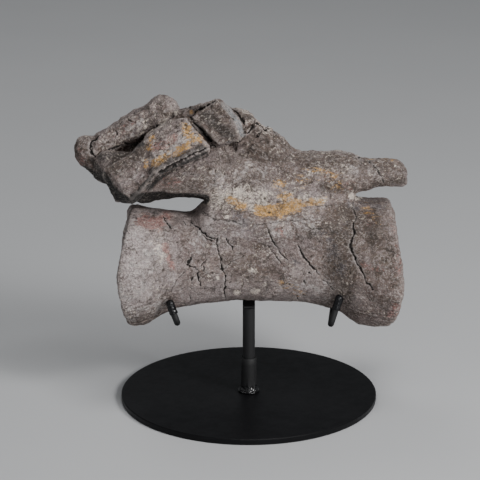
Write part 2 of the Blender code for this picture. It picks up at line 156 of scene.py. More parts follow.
class Nodes:
    """Adds and joins the nodes of one material in few words."""

    MIX_A = 6
    MIX_B = 7
    MIX_RESULT = 2

    def __init__(self, name):
        self.material = bpy.data.materials.new(name)
        self.material.use_nodes = True
        self.tree = self.material.node_tree
        self.shader = self.tree.nodes["Principled BSDF"]
        self.place = self.tree.nodes.new("ShaderNodeTexCoord").outputs["Object"]

    def put(self, socket, value):
        """A socket takes another socket, a colour or a number."""
        if isinstance(value, bpy.types.NodeSocket):
            self.tree.links.new(value, socket)
        elif isinstance(value, tuple) and len(value) == 3 and len(socket.default_value) == 4:
            socket.default_value = (*value, 1.0)
        else:
            socket.default_value = value

    def give(self, name, value):
        self.put(self.shader.inputs[name], value)

    def add(self, kind, inputs, output=0, **settings):
        """One of the outputs of a new node with these inputs and settings."""
        node = self.tree.nodes.new("ShaderNode" + kind)
        for name, value in settings.items():
            setattr(node, name, value)
        for name, value in inputs.items():
            self.put(node.inputs[name], value)
        return node.outputs[output]

    def placed(self, place, scale, shift):
        """A place scaled differently along each axis, then shifted."""
        return self.add("Mapping", {"Vector": place, "Scale": scale, "Location": shift})

    def noise(self, scale, detail=4.0, roughness=0.6, distortion=0.0, place=None, output="Fac"):
        inputs = {"Vector": place or self.place, "Scale": scale, "Detail": detail}
        inputs.update({"Roughness": roughness, "Distortion": distortion})
        return self.add("TexNoise", inputs, output)

    def cells(self, scale, place=None, feature="F1"):
        inputs = {"Vector": place or self.place, "Scale": scale}
        return self.add("TexVoronoi", inputs, "Distance", feature=feature)

    def crackle(self, scale, width):
        """Thin wandering lines between cells, 1 on a line, in some places only."""
        warp = self.noise(scale * 2.2, roughness=0.5, output="Color")
        terms = {0: warp, 1: (0.9 / scale,) * 3, 2: self.place}
        warped = self.add("VectorMath", terms, operation="MULTIPLY_ADD")
        edges = self.cells(scale, warped, "DISTANCE_TO_EDGE")
        lines = self.step(edges, width * 0.2, width, 1.0, 0.0)
        return self.product(lines, self.step(self.noise(scale * 0.8, detail=2), 0.48, 0.62))

    def height(self):
        return self.add("SeparateXYZ", {"Vector": self.place}, "Z")

    def attribute(self, name, output="Fac"):
        return self.add("Attribute", {}, output, attribute_name=name)

    def sum(self, *terms, operation="ADD"):
        total = terms[0]
        for term in terms[1:]:
            total = self.add("Math", {0: total, 1: term}, operation=operation)
        return total

    def product(self, *terms):
        return self.sum(*terms, operation="MULTIPLY")

    def step(self, value, low, high, start=0.0, end=1.0):
        """Runs smoothly from start to end as the value goes from low to high."""
        inputs = {"Value": value, "From Min": low, "From Max": high, "To Min": start, "To Max": end}
        return self.add("MapRange", inputs, interpolation_type="SMOOTHSTEP")

    def blend(self, share, first, second, mode="MIX"):
        inputs = {"Factor": share, self.MIX_A: first, self.MIX_B: second}
        return self.add("Mix", inputs, self.MIX_RESULT, data_type="RGBA", blend_type=mode)

    def coat(self, colour, tint, *shares):
        """The colour under as much of the tint as the shares make when multiplied."""
        return self.blend(self.product(*shares), colour, tint)

    def scaled(self, colour, factor):
        return self.blend(1.0, colour, factor, mode="MULTIPLY")

    def bump(self, height, distance, strength=1.0, normal=None):
        inputs = {"Height": height, "Distance": distance, "Strength": strength}
        if normal:
            inputs["Normal"] = normal
        return self.add("Bump", inputs)


# Bone forms, in millimetres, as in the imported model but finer

def oval(squareness):
    """Points of a unit superellipse: 2 is round, more is boxy."""
    points = []
    for k in range(SECTION_POINTS):
        angle = 2 * math.pi * k / SECTION_POINTS
        across, up = math.cos(angle), math.sin(angle)
        points.append((
            math.copysign(abs(across) ** (2 / squareness), across),
            math.copysign(abs(up) ** (2 / squareness), up),
        ))
    return points


def eased(stations):
    """The stations with more between them, on a smooth curve through them all."""
    rows = np.array(stations, float)
    before = np.vstack([rows[:1], rows[:-1]])
    after = np.vstack([rows[1:], rows[-1:]])
    slopes = (after - before) / 2
    finer = []
    for k in range(len(rows) - 1):
        for step in range(STATION_STEPS):
            t = step / STATION_STEPS
            finer.append(
                rows[k] * (2 * t**3 - 3 * t**2 + 1) + slopes[k] * (t**3 - 2 * t**2 + t)
                + rows[k + 1] * (3 * t**2 - 2 * t**3) + slopes[k + 1] * (t**3 - t**2)
            )
    finer.append(rows[-1])
    return [tuple(row) for row in finer]


def skin(rings):
    """A closed surface through rings that all have as many points."""
    form = bmesh.new()
    rows = [[form.verts.new(Vector(point) * MM) for point in ring] for ring in rings]
    for row, following in zip(rows, rows[1:]):
        for k in range(len(row)):
            after = (k + 1) % len(row)
            form.faces.new((row[k], row[after], following[after], following[k]))
    form.faces.new(rows[0])
    form.faces.new(rows[-1])
    bmesh.ops.recalc_face_normals(form, faces=form.faces)
    return form


def limb(squareness, stations):
    """A swelling bar of bone. Stations: x, y, z, half width, half height, lean of the top towards +Y."""
    rings = []
    for x, y, z, wide, high, lean in eased(stations):
        rings.append([
            (x, y + across * wide + up * lean, z + up * high)
            for across, up in oval(squareness)
        ])
    return skin(rings)


def lump(corners):
    """A broken, flat-faced piece: the hull of its corners."""
    form = bmesh.new()
    for corner in corners:
        form.verts.new(Vector(corner) * MM)
    hull = bmesh.ops.convex_hull(form, input=form.verts)
    bmesh.ops.delete(form, geom=hull["geom_interior"], context="VERTS")
    bmesh.ops.recalc_face_normals(form, faces=form.faces)
    return form


# Centrum stations: x, centre height, half width, half height
CENTRUM = [
    (-124.5, 137.0, 56.5, 56.0), (-121.5, 137.0, 58.0, 57.5), (-113, 136.5, 57.0, 57.0),
    (-105, 136.0, 54.0, 55.8), (-95, 138.0, 50.0, 53.5), (-84, 141.0, 45.5, 49.8),
    (-70, 143.0, 42.0, 47.0), (-45, 144.5, 39.0, 44.8), (-10, 145.5, 37.0, 42.8), (25, 145.5, 37.0, 42.8),
    (58, 145.0, 39.0, 44.5), (78, 146.0, 43.0, 49.0), (92, 145.5, 48.0, 55.2), (104, 142.5, 53.0, 60.0),
    (118, 141.0, 57.5, 61.0), (136, 140.5, 60.5, 61.5), (142.5, 140.0, 61.0, 61.0),
    (145.5, 140.0, 59.5, 59.5),
]
# Dished end faces: share of the rim radius, depth below the rim
DISH = [(0.93, -0.5), (0.85, 2.0), (0.72, 6.5), (0.5, 10.5), (0.2, 12.5)]
LEFT_CROWN = 12.0
RIGHT_CROWN = 11.0
CROWN_POWER = 5
CENTRUM_MIDDLE = 10.0
CENTRUM_HALF = 138.0
CENTRUM_SQUARENESS = 2.15


def centrum_ring(x, height, wide, high, scale=1.0):
    """One section of the spool. Near the ends its top and bottom lean inward, to crown the end faces."""
    from_middle = (x - CENTRUM_MIDDLE) / CENTRUM_HALF
    crown = LEFT_CROWN if from_middle < 0 else RIGHT_CROWN
    nearness = min(abs(from_middle), 1.0) ** CROWN_POWER
    ring = []
    for across, up in oval(CENTRUM_SQUARENESS):
        inward = math.copysign(crown * nearness * up * up * scale, -from_middle)
        ring.append((x + inward, across * wide * scale, height + up * high * scale))
    return ring


def centrum():
    left, right = CENTRUM[0], CENTRUM[-1]
    dish = eased(DISH)
    rings = [centrum_ring(left[0] + depth, *left[1:], scale) for scale, depth in reversed(dish)]
    rings += [centrum_ring(*station) for station in eased(CENTRUM)]
    rings += [centrum_ring(right[0] - depth, *right[1:], scale) for scale, depth in dish]
    return skin(rings)


# Limbs that grew as one: squareness of the section, then the stations
GROWN_LIMBS = {
    # The solid wall over the centrum, drawn in towards its roof
    "arch_body": (2.3, [
        (-40, 1, 216, 22, 38, 2), (-32, 1, 215, 26, 46, 3), (-15, 0, 213, 28, 46, 3),
        (15, 0, 211, 28, 43, 2), (45, 0, 210, 28, 40, 0), (72, 0, 210, 27, 38, 0),
        (88, 0, 211, 24, 33, 0), (100, 0, 214, 17, 24, 0),
    ]),
    # The broad shoulders where the arch meets the centrum
    "arch_foot": (2.7, [
        (-58, 0, 168, 24, 16, 0), (-44, 0, 176, 31, 22, 0), (-30, 0, 180, 35, 24, 0),
        (0, 0, 181, 37, 24, 0), (35, 0, 180, 38.5, 24, 0), (66, 0, 179, 38.5, 25, 0),
        (88, 0, 176, 36, 25, 0), (106, 0, 172, 28, 22, 0),
    ]),
    # The joined rear facets, with a step on top and a blunt end
    "rear_process": (2.5, [
        (20, 0, 224, 24, 26, 0), (50, 0, 228, 24, 22, 0), (80, 0, 230, 22, 20.5, 0),
        (98, 0, 229.5, 19, 19.5, 0), (108, 0, 228, 17, 16.5, 0), (124, 0, 229, 16, 14, 0),
        (138, 0, 229.5, 15, 12.5, 0), (146, 0, 227.5, 13.5, 10.5, 0), (151, 0, 225.5, 9, 6, 0),
    ]),
    # The thin plate that runs forward under the near bar
    "near_wing": (2.6, [
        (-25, -15, 237, 12, 30, 6), (-45, -16, 236, 11, 24, 6), (-62, -18, 234, 10, 19, 6),
        (-82, -19, 232, 8, 14, 5), (-101, -20, 227, 5, 8, 4),
    ]),
    # The thin plate that carries the far bar
    "far_wing": (2.8, [
        (-25, 20, 235, 12, 36, -4), (-55, 25, 233, 10, 35, -4), (-85, 30, 230, 8, 33, -3),
        (-112, 33, 228, 8, 29, -2), (-135, 34, 232, 8, 19, -2),
    ]),
    # Matrix that fills the trough between the two wings
    "wing_floor": (3.0, [
        (-34, 4, 227, 22, 22, 0), (-62, 5, 226, 20, 21, 0), (-88, 7, 221, 19, 19, 0),
        (-104, 9, 217, 18, 18, 0), (-116, 13, 216, 12, 13, 0), (-126, 16, 219, 8, 8, 0),
    ]),
}
# Limbs that were broken and stuck on again, or are matrix
BROKEN_LIMBS = {
    # The far forward bar: thick, high at its rear end
    "far_beam": (2.6, [
        (-68, 29, 281, 9, 7, 0), (-72, 30, 282, 14, 12, 0), (-82, 31, 282, 16, 15, 0),
        (-92, 32, 279, 16, 16, 0), (-104, 33, 270, 16, 15.5, 0), (-118, 34, 262, 16, 14.5, 0),
        (-132, 34, 253, 15, 14, 0), (-146, 34, 246, 14, 13, 0), (-152, 34, 243, 11, 10, 0),
    ]),
    # The swollen low end of the far bar
    "far_knob": (2.2, [
        (-138, 32, 232, 12, 17, 0), (-147, 33, 235, 15, 20, 0), (-157, 35, 239, 15, 17, 0),
        (-164, 36, 240, 12, 12, 0), (-168, 36, 240, 6, 6, 0),
    ]),
    # What joins the knob to the matrix under the near bar
    "far_neck": (2.4, [
        (-150, 22, 226, 7, 8, 0), (-140, 12, 232, 13, 14, 0), (-126, 8, 232, 17, 15, 0),
        (-110, 8, 233, 17, 15, 0),
    ]),
    # Matrix that closes the rear part of the gap between the two forward bars
    "bar_fill": (2.6, [
        (-106, 8, 236, 12, 16, 0), (-98, 7, 249, 14, 16, 0), (-86, 6, 257, 15, 16, 0),
        (-74, 6, 264, 15, 16, 0), (-62, 8, 268, 14, 15, 0),
    ]),
}
# Flat-faced pieces, by their corners
LUMPS = {
    # The low crest behind the broken block
    "top_ridge": [
        (-72, 14, 289), (-50, 12, 294), (-34, 8, 300), (-30, 22, 292), (-70, 26, 282), (-60, 2, 258),
        (-30, 0, 258), (0, 16, 284), (4, 0, 258), (-40, 28, 250), (0, 24, 250), (-74, 10, 262),
    ],
    # What is left of the neural spine, falling away towards the rear
    "spine_slope": [
        (-16, 4, 288), (4, 6, 284), (20, 6, 273), (32, 4, 261), (52, 2, 248), (-12, 18, 284),
        (18, 20, 266), (48, 14, 243), (-10, -16, 262), (22, -19, 254), (44, -18, 242),
        (-14, -12, 240), (30, 20, 235),
    ],
    # The squarish fragment that stands on the arch, with one smooth broken edge
    "broken_block": [
        (-32, -17, 307), (-55, -21, 291), (-28, -27, 265), (-8, -25, 268), (-13, -25, 285),
        (-25, -20, 303), (-19, -12, 298), (-6, -14, 281), (-4, -14, 270), (-26, 2, 299),
        (-42, 2, 288), (-22, 0, 262), (-4, 0, 268),
    ],
    "first_spine_lump": [
        (-14, 4, 293), (-2, 4, 290), (5, 6, 286), (6, -6, 279), (-6, -8, 274), (2, 12, 278), (-10, 14, 284),
    ],
    "second_spine_lump": [
        (8, 2, 281), (13, 2, 279), (12, -10, 269), (3, -10, 271), (16, 10, 270), (6, 8, 270),
    ],
    "third_spine_lump": [
        (17, 2, 277), (22, 3, 274), (23, -5, 266), (15, -9, 264), (25, 8, 264), (18, 10, 266),
    ],
}

# Crumbs of matrix, place and radius of each: on the spine's slope, then on the knob
CRUMBS = [
    ((-9, -9, 280), 4.5), ((-1, -11, 275), 5.0), ((6, -9, 273), 4.0), ((-4, -17, 265), 4.0),
    ((13, -11, 265), 4.5), ((20, -10, 262), 4.0), ((5, -18, 260), 4.5), ((-11, 3, 290), 3.5),
    ((28, -9, 256), 4.0), ((-10, -14, 272), 4.0),
    ((-160, 23, 240), 6.0), ((-151, 20, 230), 5.5), ((-143, 15, 222), 5.0), ((-163, 28, 247), 5.0),
    ((-148, 22, 243), 4.5), ((-156, 26, 228), 5.5),
]
CRUMB_CORNERS = 9
CRUMB_SEED = 5


def crumb_corners():
    """Small angular crumbs: the corners of each are scattered on a ball."""
    random = np.random.default_rng(CRUMB_SEED)
    crumbs = []
    for place, radius in CRUMBS:
        ways = random.normal(size=(CRUMB_CORNERS, 3))
        ways /= np.linalg.norm(ways, axis=1)[:, None]
        crumbs.append(np.array(place) + ways * radius)
    return crumbs


# Near bar: at each station the ridge and the low front edge of its bright face, x and z of each
NEAR_RIDGE_DEPTH = -20
NEAR_EDGE_DEPTH = -42
NEAR_BACK_DEPTH = -4
NEAR_BEVEL = 7
NEAR_BEVEL_DEPTH = 6
NEAR_ROUNDING = 8
NEAR_BACK_DROP = 22
NEAR_CREST_DROP = 3
NEAR_BAR = [
    ((-59, 290), (-38, 267)), ((-67, 289), (-53, 261)), ((-79, 282), (-73, 250)),
    ((-93, 274), (-90, 242)), ((-101, 266), (-97, 231)), ((-114, 253), (-104, 222)),
    ((-128, 246), (-108, 218)), ((-137, 241), (-111, 216)),
]
# The dark broken end runs back from the last station to these corners
NEAR_END = [
    (-141, -20, 234), (-128, -25, 207), (-128, -18, 205),
    (-127, -12, 207), (-137, -6, 219), (-140, -12, 233),
]


def near_bar():
    """The near forward bar: a slab whose bright face leans back, with a bevel along its low edge."""
    rings = []
    for (ridge_x, ridge_z), (edge_x, edge_z) in NEAR_BAR:
        rings.append([
            (ridge_x, NEAR_RIDGE_DEPTH, ridge_z),
            (edge_x, NEAR_EDGE_DEPTH, edge_z),
            (edge_x + 1, NEAR_EDGE_DEPTH + NEAR_BEVEL_DEPTH, edge_z - NEAR_BEVEL),
            (edge_x + 1, NEAR_BACK_DEPTH - NEAR_ROUNDING, edge_z - NEAR_BEVEL),
            (ridge_x + 2, NEAR_BACK_DEPTH, ridge_z - NEAR_BACK_DROP),
            (ridge_x, NEAR_BACK_DEPTH - NEAR_ROUNDING, ridge_z - NEAR_CREST_DROP),
        ])
    return skin([*rings, NEAR_END])


# Marks on the bone. A view gives its strokes as flat places: pixels in the photo, millimetres in the others

CRACK_WIDENING = 1.25
CRACK_WIDENINGS = (0.4, 2.2)
CRACK_UNEVENNESS = 1.1
CRACK_SPREAD = 1.2
CRACK_WANDER = 1.3
CRACK_WANDER_SCALE = 190
CRACK_JAG = 0.8
CRACK_JAG_SCALE = 560
LIP_WIDTH = 1.8
MASK_FIRMNESS = 1.7
BLACK_DEPTH = 1.6
LEAST_BLACK = 0.60
# How squarely the bone faces a view: least that is looked at, and from nothing to all of a mark
LEAST_FACING = 0.05
OPEN_FACING = (0.03, 0.18)
CRACK_LIFT = 0.0015
STAIN_LIFT = 0.005
# Views straight along an axis: the axes that they show, and the way out towards whoever looks
FLAT_VIEWS = {
    "far": ([0, 2], (0, 1, 0)),
    "left": ([1, 2], (-1, 0, 0)),
    "right": ([1, 2], (1, 0, 0)),
    "under": ([0, 1], (0, 0, -1)),
    "top": ([0, 1], (0, 0, 1)),
}

# Cracks: half width, depth in millimetres, then the places it passes through
CRACKS = {
    "photo": {
        "end_plate": (0.9, 2.4, [
            (354, 202), (352, 208), (356, 214), (356, 219), (352, 227), (354, 231), (350, 244), (352, 252),
            (362, 273), (367, 283), (373, 290),
        ]),
        "waist": (0.75, 1.8, [
            (217, 235), (217, 245), (219, 255), (222.5, 270), (226, 276), (224, 293), (226, 302),
        ]),
        "left_fork": (0.8, 2.0, [(192, 253), (190, 260), (187.5, 265), (195, 268), (199, 270)]),
        "left_fork_up": (0.6, 1.4, [(208, 258), (202, 264), (200, 269)]),
        "left_fork_down": (0.7, 1.8, [(199, 270), (197, 272), (199, 279), (201, 286)]),
        "left_fork_foot": (0.8, 1.8, [(193, 276), (191, 284)]),
        "left_shoulder": (0.8, 2.0, [(164, 217), (168, 223), (173, 229)]),
        "left_nick": (0.7, 1.4, [(183, 221), (187, 225), (191, 226)]),
        "left_slant": (0.8, 1.4, [(190, 222), (199, 229), (207, 237)]),
        "waist_branch": (0.6, 1.2, [(226, 238), (233, 249)]),
        "waist_ripple": (0.5, 0.9, [(233, 252), (240, 253), (245, 258)]),
        "waist_slant": (0.8, 1.5, [(226, 240), (231, 246), (234, 253)]),
        "waist_web": (0.5, 0.9, [(244, 256), (236, 259), (228, 265), (223, 270)]),
        "rubble_upper": (0.9, 1.6, [(196, 227), (203, 233), (209, 238), (216, 240)]),
        "rubble_lower": (0.7, 1.4, [(199, 232), (206, 238), (214, 243)]),
        "fork_web": (0.5, 0.8, [(201, 270), (210, 274), (224, 273)]),
        "fork_branch": (0.6, 1.1, [(208, 259), (204, 264), (203, 272)]),
        "shoulder_web": (0.6, 1.0, [(200, 210), (209, 216), (216, 216)]),
        "foot_web": (0.5, 0.9, [(176, 292), (186, 287), (192, 289), (200, 297)]),
        "foot_groove_left": (0.9, 0.9, [(199, 213), (215, 219), (230, 221), (247, 225)]),
        "foot_groove_right": (0.7, 0.9, [(252, 226), (275, 222), (310, 219)]),
        "cone_edge": (0.8, 0.9, [(186, 270), (178, 279), (170, 292)]),
        "cone_foot": (0.5, 0.8, [(190, 290), (191, 303)]),
        "middle_slant": (0.7, 1.5, [(267, 228), (271, 240), (282, 255), (290, 262)]),
        "middle_twin": (0.5, 1.0, [(268, 245), (280, 262), (286, 270)]),
        "right_slant": (0.9, 2.0, [(298, 246), (305, 259), (314, 269), (319, 275)]),
        "right_slant_foot": (0.5, 0.9, [(319, 275), (323, 280), (334, 291)]),
        "right_nick": (0.7, 1.2, [(308, 271), (311, 274)]),
        "right_spot": (0.7, 1.2, [(303, 280), (305, 284)]),
        "pale_seam": (0.4, 0.4, [(268, 272), (266, 300)]),
        "arch_seam": (0.6, 0.8, [(213, 165), (216, 172), (214, 183)]),
        "wing_line": (0.5, 0.7, [(175, 178), (192, 170)]),
        "wing_web": (0.5, 0.9, [(186, 168), (190, 174), (200, 176)]),
        "arch_web": (0.5, 0.8, [(300, 200), (318, 206), (338, 205)]),
        "right_web": (0.5, 0.9, [(300, 222), (312, 229), (330, 228)]),
        "process_joint": (0.8, 1.4, [(368, 160), (375, 167), (380, 175), (384, 183)]),
        "block_gap": (1.3, 3.0, [(190, 118), (203, 132), (216, 147)]),
        "block_top": (1.3, 3.2, [(190, 117), (199, 110), (208, 105), (215, 100)]),
        "block_foot": (0.8, 1.4, [(218, 145), (230, 143), (242, 141)]),
        "block_cleft": (1.5, 3.2, [(231, 107), (238, 115), (245, 124)]),
        "far_beam_crack": (0.7, 1.3, [(127, 116), (131, 121), (137, 122)]),
        "far_beam_nick": (0.6, 1.1, [(113, 128), (117, 133), (114, 138)]),
        "far_beam_front": (0.8, 1.2, [(104, 151), (118, 147), (130, 143), (142, 142)]),
        "bar_foot": (1.7, 3.4, [(147, 187), (153, 179), (164, 171), (182, 161), (200, 152), (214, 144)]),
        "knob_notch": (1.6, 3.6, [(99, 135), (92, 141), (90, 148), (92, 154), (95, 157)]),
        "beam_groove": (0.6, 1.0, [(178, 112), (168, 121), (150, 131), (142, 137)]),
        "lump_gap": (1.0, 2.5, [(256, 120), (252, 128), (246, 136)]),
        "lump_gap_rear": (0.9, 2.2, [(263, 124), (262, 131), (256, 137)]),
    },
    "far": {
        "long_slant": (0.8, 1.8, [(-88, 176), (-70, 160), (-52, 148), (-40, 128), (-30, 112)]),
        "long_slant_branch": (0.6, 1.2, [(-52, 148), (-38, 150), (-26, 144)]),
        "waist": (0.7, 1.6, [(14, 182), (10, 164), (16, 148), (12, 130), (17, 108)]),
        "rear_slant": (0.8, 1.8, [(52, 176), (60, 160), (74, 148), (80, 132), (92, 118)]),
        "end_plate": (0.8, 2.0, [(104, 192), (100, 172), (106, 154), (101, 136), (108, 112)]),
        "arch_seam": (0.6, 1.0, [(-10, 246), (-2, 232), (-6, 218), (2, 204)]),
        "foot_groove": (0.9, 1.1, [(-44, 186), (-18, 190), (16, 186), (50, 189), (78, 184)]),
        "wing_break": (0.8, 1.8, [(-62, 262), (-70, 246), (-66, 230), (-74, 214)]),
        "beam_break": (0.7, 1.5, [(-112, 272), (-108, 262), (-115, 252)]),
        "process_joint": (0.7, 1.3, [(110, 246), (106, 234), (112, 222)]),
        "front_nick": (0.7, 1.4, [(-100, 150), (-92, 142), (-95, 132)]),
    },
    "left": {
        "dish_split": (0.7, 1.6, [(-30, 176), (-18, 158), (-20, 140), (-4, 124), (-2, 104)]),
        "dish_branch": (0.6, 1.2, [(-20, 140), (8, 148), (26, 142)]),
        "rim_nick": (0.7, 1.6, [(34, 172), (26, 160)]),
    },
    "right": {
        "dish_split": (0.7, 1.6, [(28, 184), (14, 166), (16, 146), (0, 130), (4, 108), (-4, 92)]),
        "dish_branch": (0.6, 1.2, [(16, 146), (34, 138), (44, 124)]),
        "rim_nick": (0.7, 1.6, [(-44, 152), (-32, 148)]),
    },
    "under": {
        "keel_split": (0.7, 1.6, [(-96, -6), (-70, 4), (-46, -2), (-24, 6)]),
        "cross_front": (0.7, 1.4, [(-62, -26), (-58, -8), (-64, 12), (-58, 26)]),
        "cross_rear": (0.7, 1.4, [(46, -28), (52, -10), (44, 8), (50, 26)]),
        "rear_split": (0.7, 1.5, [(62, 4), (84, -4), (104, 6)]),
    },
    "top": {
        "ridge_split": (0.7, 1.6, [(-8, 6), (14, 0), (34, 6), (60, 0), (86, 4)]),
        "process_cross": (0.7, 1.3, [(108, -14), (104, 0), (110, 14)]),
    },
}


def photo_pixels(points):
    """Pixels across and down at which points in metres appear in the photo."""
    away = points - np.array(CAMERA_PLACE)
    cosine, sine = math.cos(CAMERA_TILT), math.sin(CAMERA_TILT)
    depth = away[:, 1] * cosine - away[:, 2] * sine
    rise = away[:, 1] * sine + away[:, 2] * cosine
    focal = CAMERA_LENS / CAMERA_SENSOR * PHOTO_SIZE
    across = PHOTO_SIZE / 2 + focal * away[:, 0] / depth
    down = PHOTO_SIZE / 2 - focal * rise / depth
    return np.stack([across, down], axis=1)


def flat_places(points, view):
    if view == "photo":
        return photo_pixels(points)
    return points[:, FLAT_VIEWS[view][0]] / MM


def ways_out(points, view):
    """Unit directions from the points towards whoever sees this view."""
    if view != "photo":
        return np.tile(FLAT_VIEWS[view][1], (len(points), 1))
    ways = np.array(CAMERA_PLACE) - points
    return ways / np.linalg.norm(ways, axis=1)[:, None]


def stroke_distance(places, points):
    """How far each place is from a polyline, and how far along the polyline it lies, from 0 to 1."""
    points = np.array(points, float)
    if len(points) == 1:
        return np.linalg.norm(places - points[0], axis=1), np.full(len(places), 0.5)
    lengths = np.linalg.norm(np.diff(points, axis=0), axis=1)
    passed = np.concatenate([[0], np.cumsum(lengths)])
    nearest = np.full(len(places), np.inf)
    along = np.zeros(len(places))
    for k, (start, end) in enumerate(zip(points, points[1:])):
        share = np.clip((places - start) @ (end - start) / lengths[k] ** 2, 0, 1)
        gap = np.linalg.norm(places - start - share[:, None] * (end - start), axis=1)
        closer = gap < nearest
        nearest[closer] = gap[closer]
        along[closer] = ((passed[k] + share * lengths[k]) / passed[-1])[closer]
    return nearest, along


def taper(along):
    """A stroke is thinner towards both its ends."""
    return 0.4 + 0.6 * np.sin(np.pi * np.clip(along, 0.02, 0.98))


def open_share(tree, surface, view, chosen, lift):
    """How squarely the chosen points face the view, from 0 to 1, and 0 where the bone hides them.

    The lift is how far off the bone a line of sight starts: with a long one, crevices count as seen.
    """
    points, normals = surface
    share = np.zeros(len(points))
    ways = ways_out(points[chosen], view)
    facing = np.einsum("ij,ij->i", normals[chosen], ways)
    for k, way, front in zip(np.flatnonzero(chosen), ways, facing):
        if front < LEAST_FACING:
            continue
        start = Vector(points[k] + normals[k] * lift)
        if tree.ray_cast(start, Vector(way))[0] is None:
            share[k] = front
    return ramp(share, *OPEN_FACING)


def crack_shares(surface, tree, extra_width=0.0):
    """At each point: the depth of the cracks in metres, a mask that is 1 in them, and one on their lips."""
    points, _ = surface
    wander = np.stack([
        CRACK_WANDER * field(points, CRACK_WANDER_SCALE, offset=offset)
        + CRACK_JAG * field(points, CRACK_JAG_SCALE, octaves=1, offset=offset)
        for offset in ((0, 0, 0), (4, 4, 4))
    ], axis=1)
    uneven = 1 + CRACK_UNEVENNESS * field(points, CRACK_WANDER_SCALE, offset=(6, 2, 8))
    uneven = np.clip(CRACK_WIDENING * uneven, *CRACK_WIDENINGS)
    depths, masks, lips = np.zeros((3, len(points)))
    for view, strokes in CRACKS.items():
        places = flat_places(points, view) + wander
        found = []
        for half_width, depth, stroke in strokes.values():
            distance, along = stroke_distance(places, stroke)
            wide = half_width * taper(along) * uneven + extra_width
            share = np.clip(1 - distance / wide, 0, 1)
            lip = np.clip(1 - (distance - wide) / LIP_WIDTH, 0, 1) * taper(along)
            darkness = min(max(depth / BLACK_DEPTH, LEAST_BLACK), 1)
            mask = np.clip(share * MASK_FIRMNESS, 0, 1) * darkness
            found.append((depth * taper(along) * np.sqrt(share), mask, lip))
        depth, mask, lip = np.max(found, axis=0)
        seen = open_share(tree, surface, view, lip > 0, CRACK_LIFT)
        depths = np.maximum(depths, depth * seen)
        masks = np.maximum(masks, mask * seen)
        lips = np.maximum(lips, lip * seen)
    return depths * MM, masks, lips


# Bone surface

def fuse(name, forms, voxel):
    """One skin round all the overlapping forms."""
    joined = bmesh.new()
    for form in forms:
        mesh = bpy.data.meshes.new("form")
        form.to_mesh(mesh)
        joined.from_mesh(mesh)
        bpy.data.meshes.remove(mesh)
    mesh = bpy.data.meshes.new(name)
    joined.to_mesh(mesh)
    joined.free()
    bone = show(name, mesh)
    remesh = bone.modifiers.new("Fuse", "REMESH")
    remesh.mode = "VOXEL"
    remesh.voxel_size = voxel
    apply_modifiers(bone)
    return bone


def apply_modifiers(obj):
    graph = bpy.context.evaluated_depsgraph_get()
    made = bpy.data.meshes.new_from_object(obj.evaluated_get(graph))
    obj.modifiers.clear()
    obj.data = made


def fillet_seams(bone, forms):
    """Smooth hollows where grown forms run into each other, then a little wear everywhere."""
    trees = [BVHTree.FromBMesh(form) for form in forms]
    seams = bone.vertex_groups.new(name="seams")
    for vertex in bone.data.vertices:
        found = [tree.find_nearest(vertex.co, FILLET_REACH)[3] for tree in trees]
        near = sorted(distance for distance in found if distance is not None)
        if len(near) > 1:
            seams.add([vertex.index], 1 - near[1] / FILLET_REACH, "REPLACE")
    smooth = bone.modifiers.new("Fillets", "SMOOTH")
    smooth.vertex_group = seams.name
    smooth.iterations = FILLET_STEPS
    wear = bone.modifiers.new("Wear", "SMOOTH")
    wear.iterations = WEAR_STEPS
    apply_modifiers(bone)
    bone.vertex_groups.clear()


def surface_of(mesh):
    """The place of each vertex, and which way the surface faces there."""
    found = []
    for items, name in ((mesh.vertices, "co"), (mesh.vertex_normals, "vector")):
        flat = np.empty(len(items) * 3, np.float32)
        items.foreach_get(name, flat)
        found.append(flat.reshape(-1, 3).astype(float))
    return found


def move_points(mesh, points):
    mesh.vertices.foreach_set("co", points.astype(np.float32).ravel())
    mesh.update()


def field(points, scale, octaves=3, increment=1.0, offset=(0, 0, 0)):
    """Fractal noise about zero at each point. The scale is in features per metre."""
    scaled = points * scale + np.array(offset)
    return np.array([noise.fractal(place, increment, 2.0, octaves) for place in scaled.tolist()])


def ramp(values, low, high):
    share = np.clip((values - low) / (high - low), 0, 1)
    return share * share * (3 - 2 * share)


# Heights of the relief, in metres
SWELL = 0.0022
CRUMBLE = 0.0012
BROAD_FLAKES = 0.00055
SMALL_FLAKES = 0.00035
POCKS = 0.00045
GRAIN = 0.00022
GRANULES = 0.00040
END_RIDGES = 0.0013
PIT_DEPTH = 0.0009
# Regions in metres: where each sets in and where it is full
LEFT_FLARE = (0.070, 0.095)
RIGHT_FLARE = (0.085, 0.108)
FLARE_RADII = (0.040, 0.050)
LEFT_RIM = (0.100, 0.114)
RIGHT_RIM = (0.122, 0.138)
CRUSTED_TOP = (0.225, 0.275)
CRUSTED_ARCH = (0.190, 0.215)
# How much crust there is on the arch and on the waist, where the broken top has 1
ARCH_CRUST = 0.55
WAIST_CRUST = 0.15
# Height at which the broken top begins, and how soon it is full; height under which the rims are rough
BROKEN_TOP = 0.235
BROKEN_TOP_FADE = 0.03
RIM_TOP = 0.205
# Pits: how many, the seed of their scatter, least and most radius
PITS = 700
PIT_SEED = 3
PIT_RADII = (0.0010, 0.0020)
# Smoothing steps and depth of what counts as one hollow, and as one basin, whose darkening is painted shade
# with some dirt
HOLLOW = (4, 0.0003)
BASIN = (40, 0.0015)


def coarse_relief(points):
    """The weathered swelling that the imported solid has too."""
    broken_top = np.clip((points[:, 2] - BROKEN_TOP) / BROKEN_TOP_FADE, 0, 1)
    swell = SWELL * field(points, 28)
    crumbs = CRUMBLE * field(points, 75, increment=0.8, offset=(7, 3, 1))
    return swell + crumbs * (0.25 + 0.75 * broken_top)


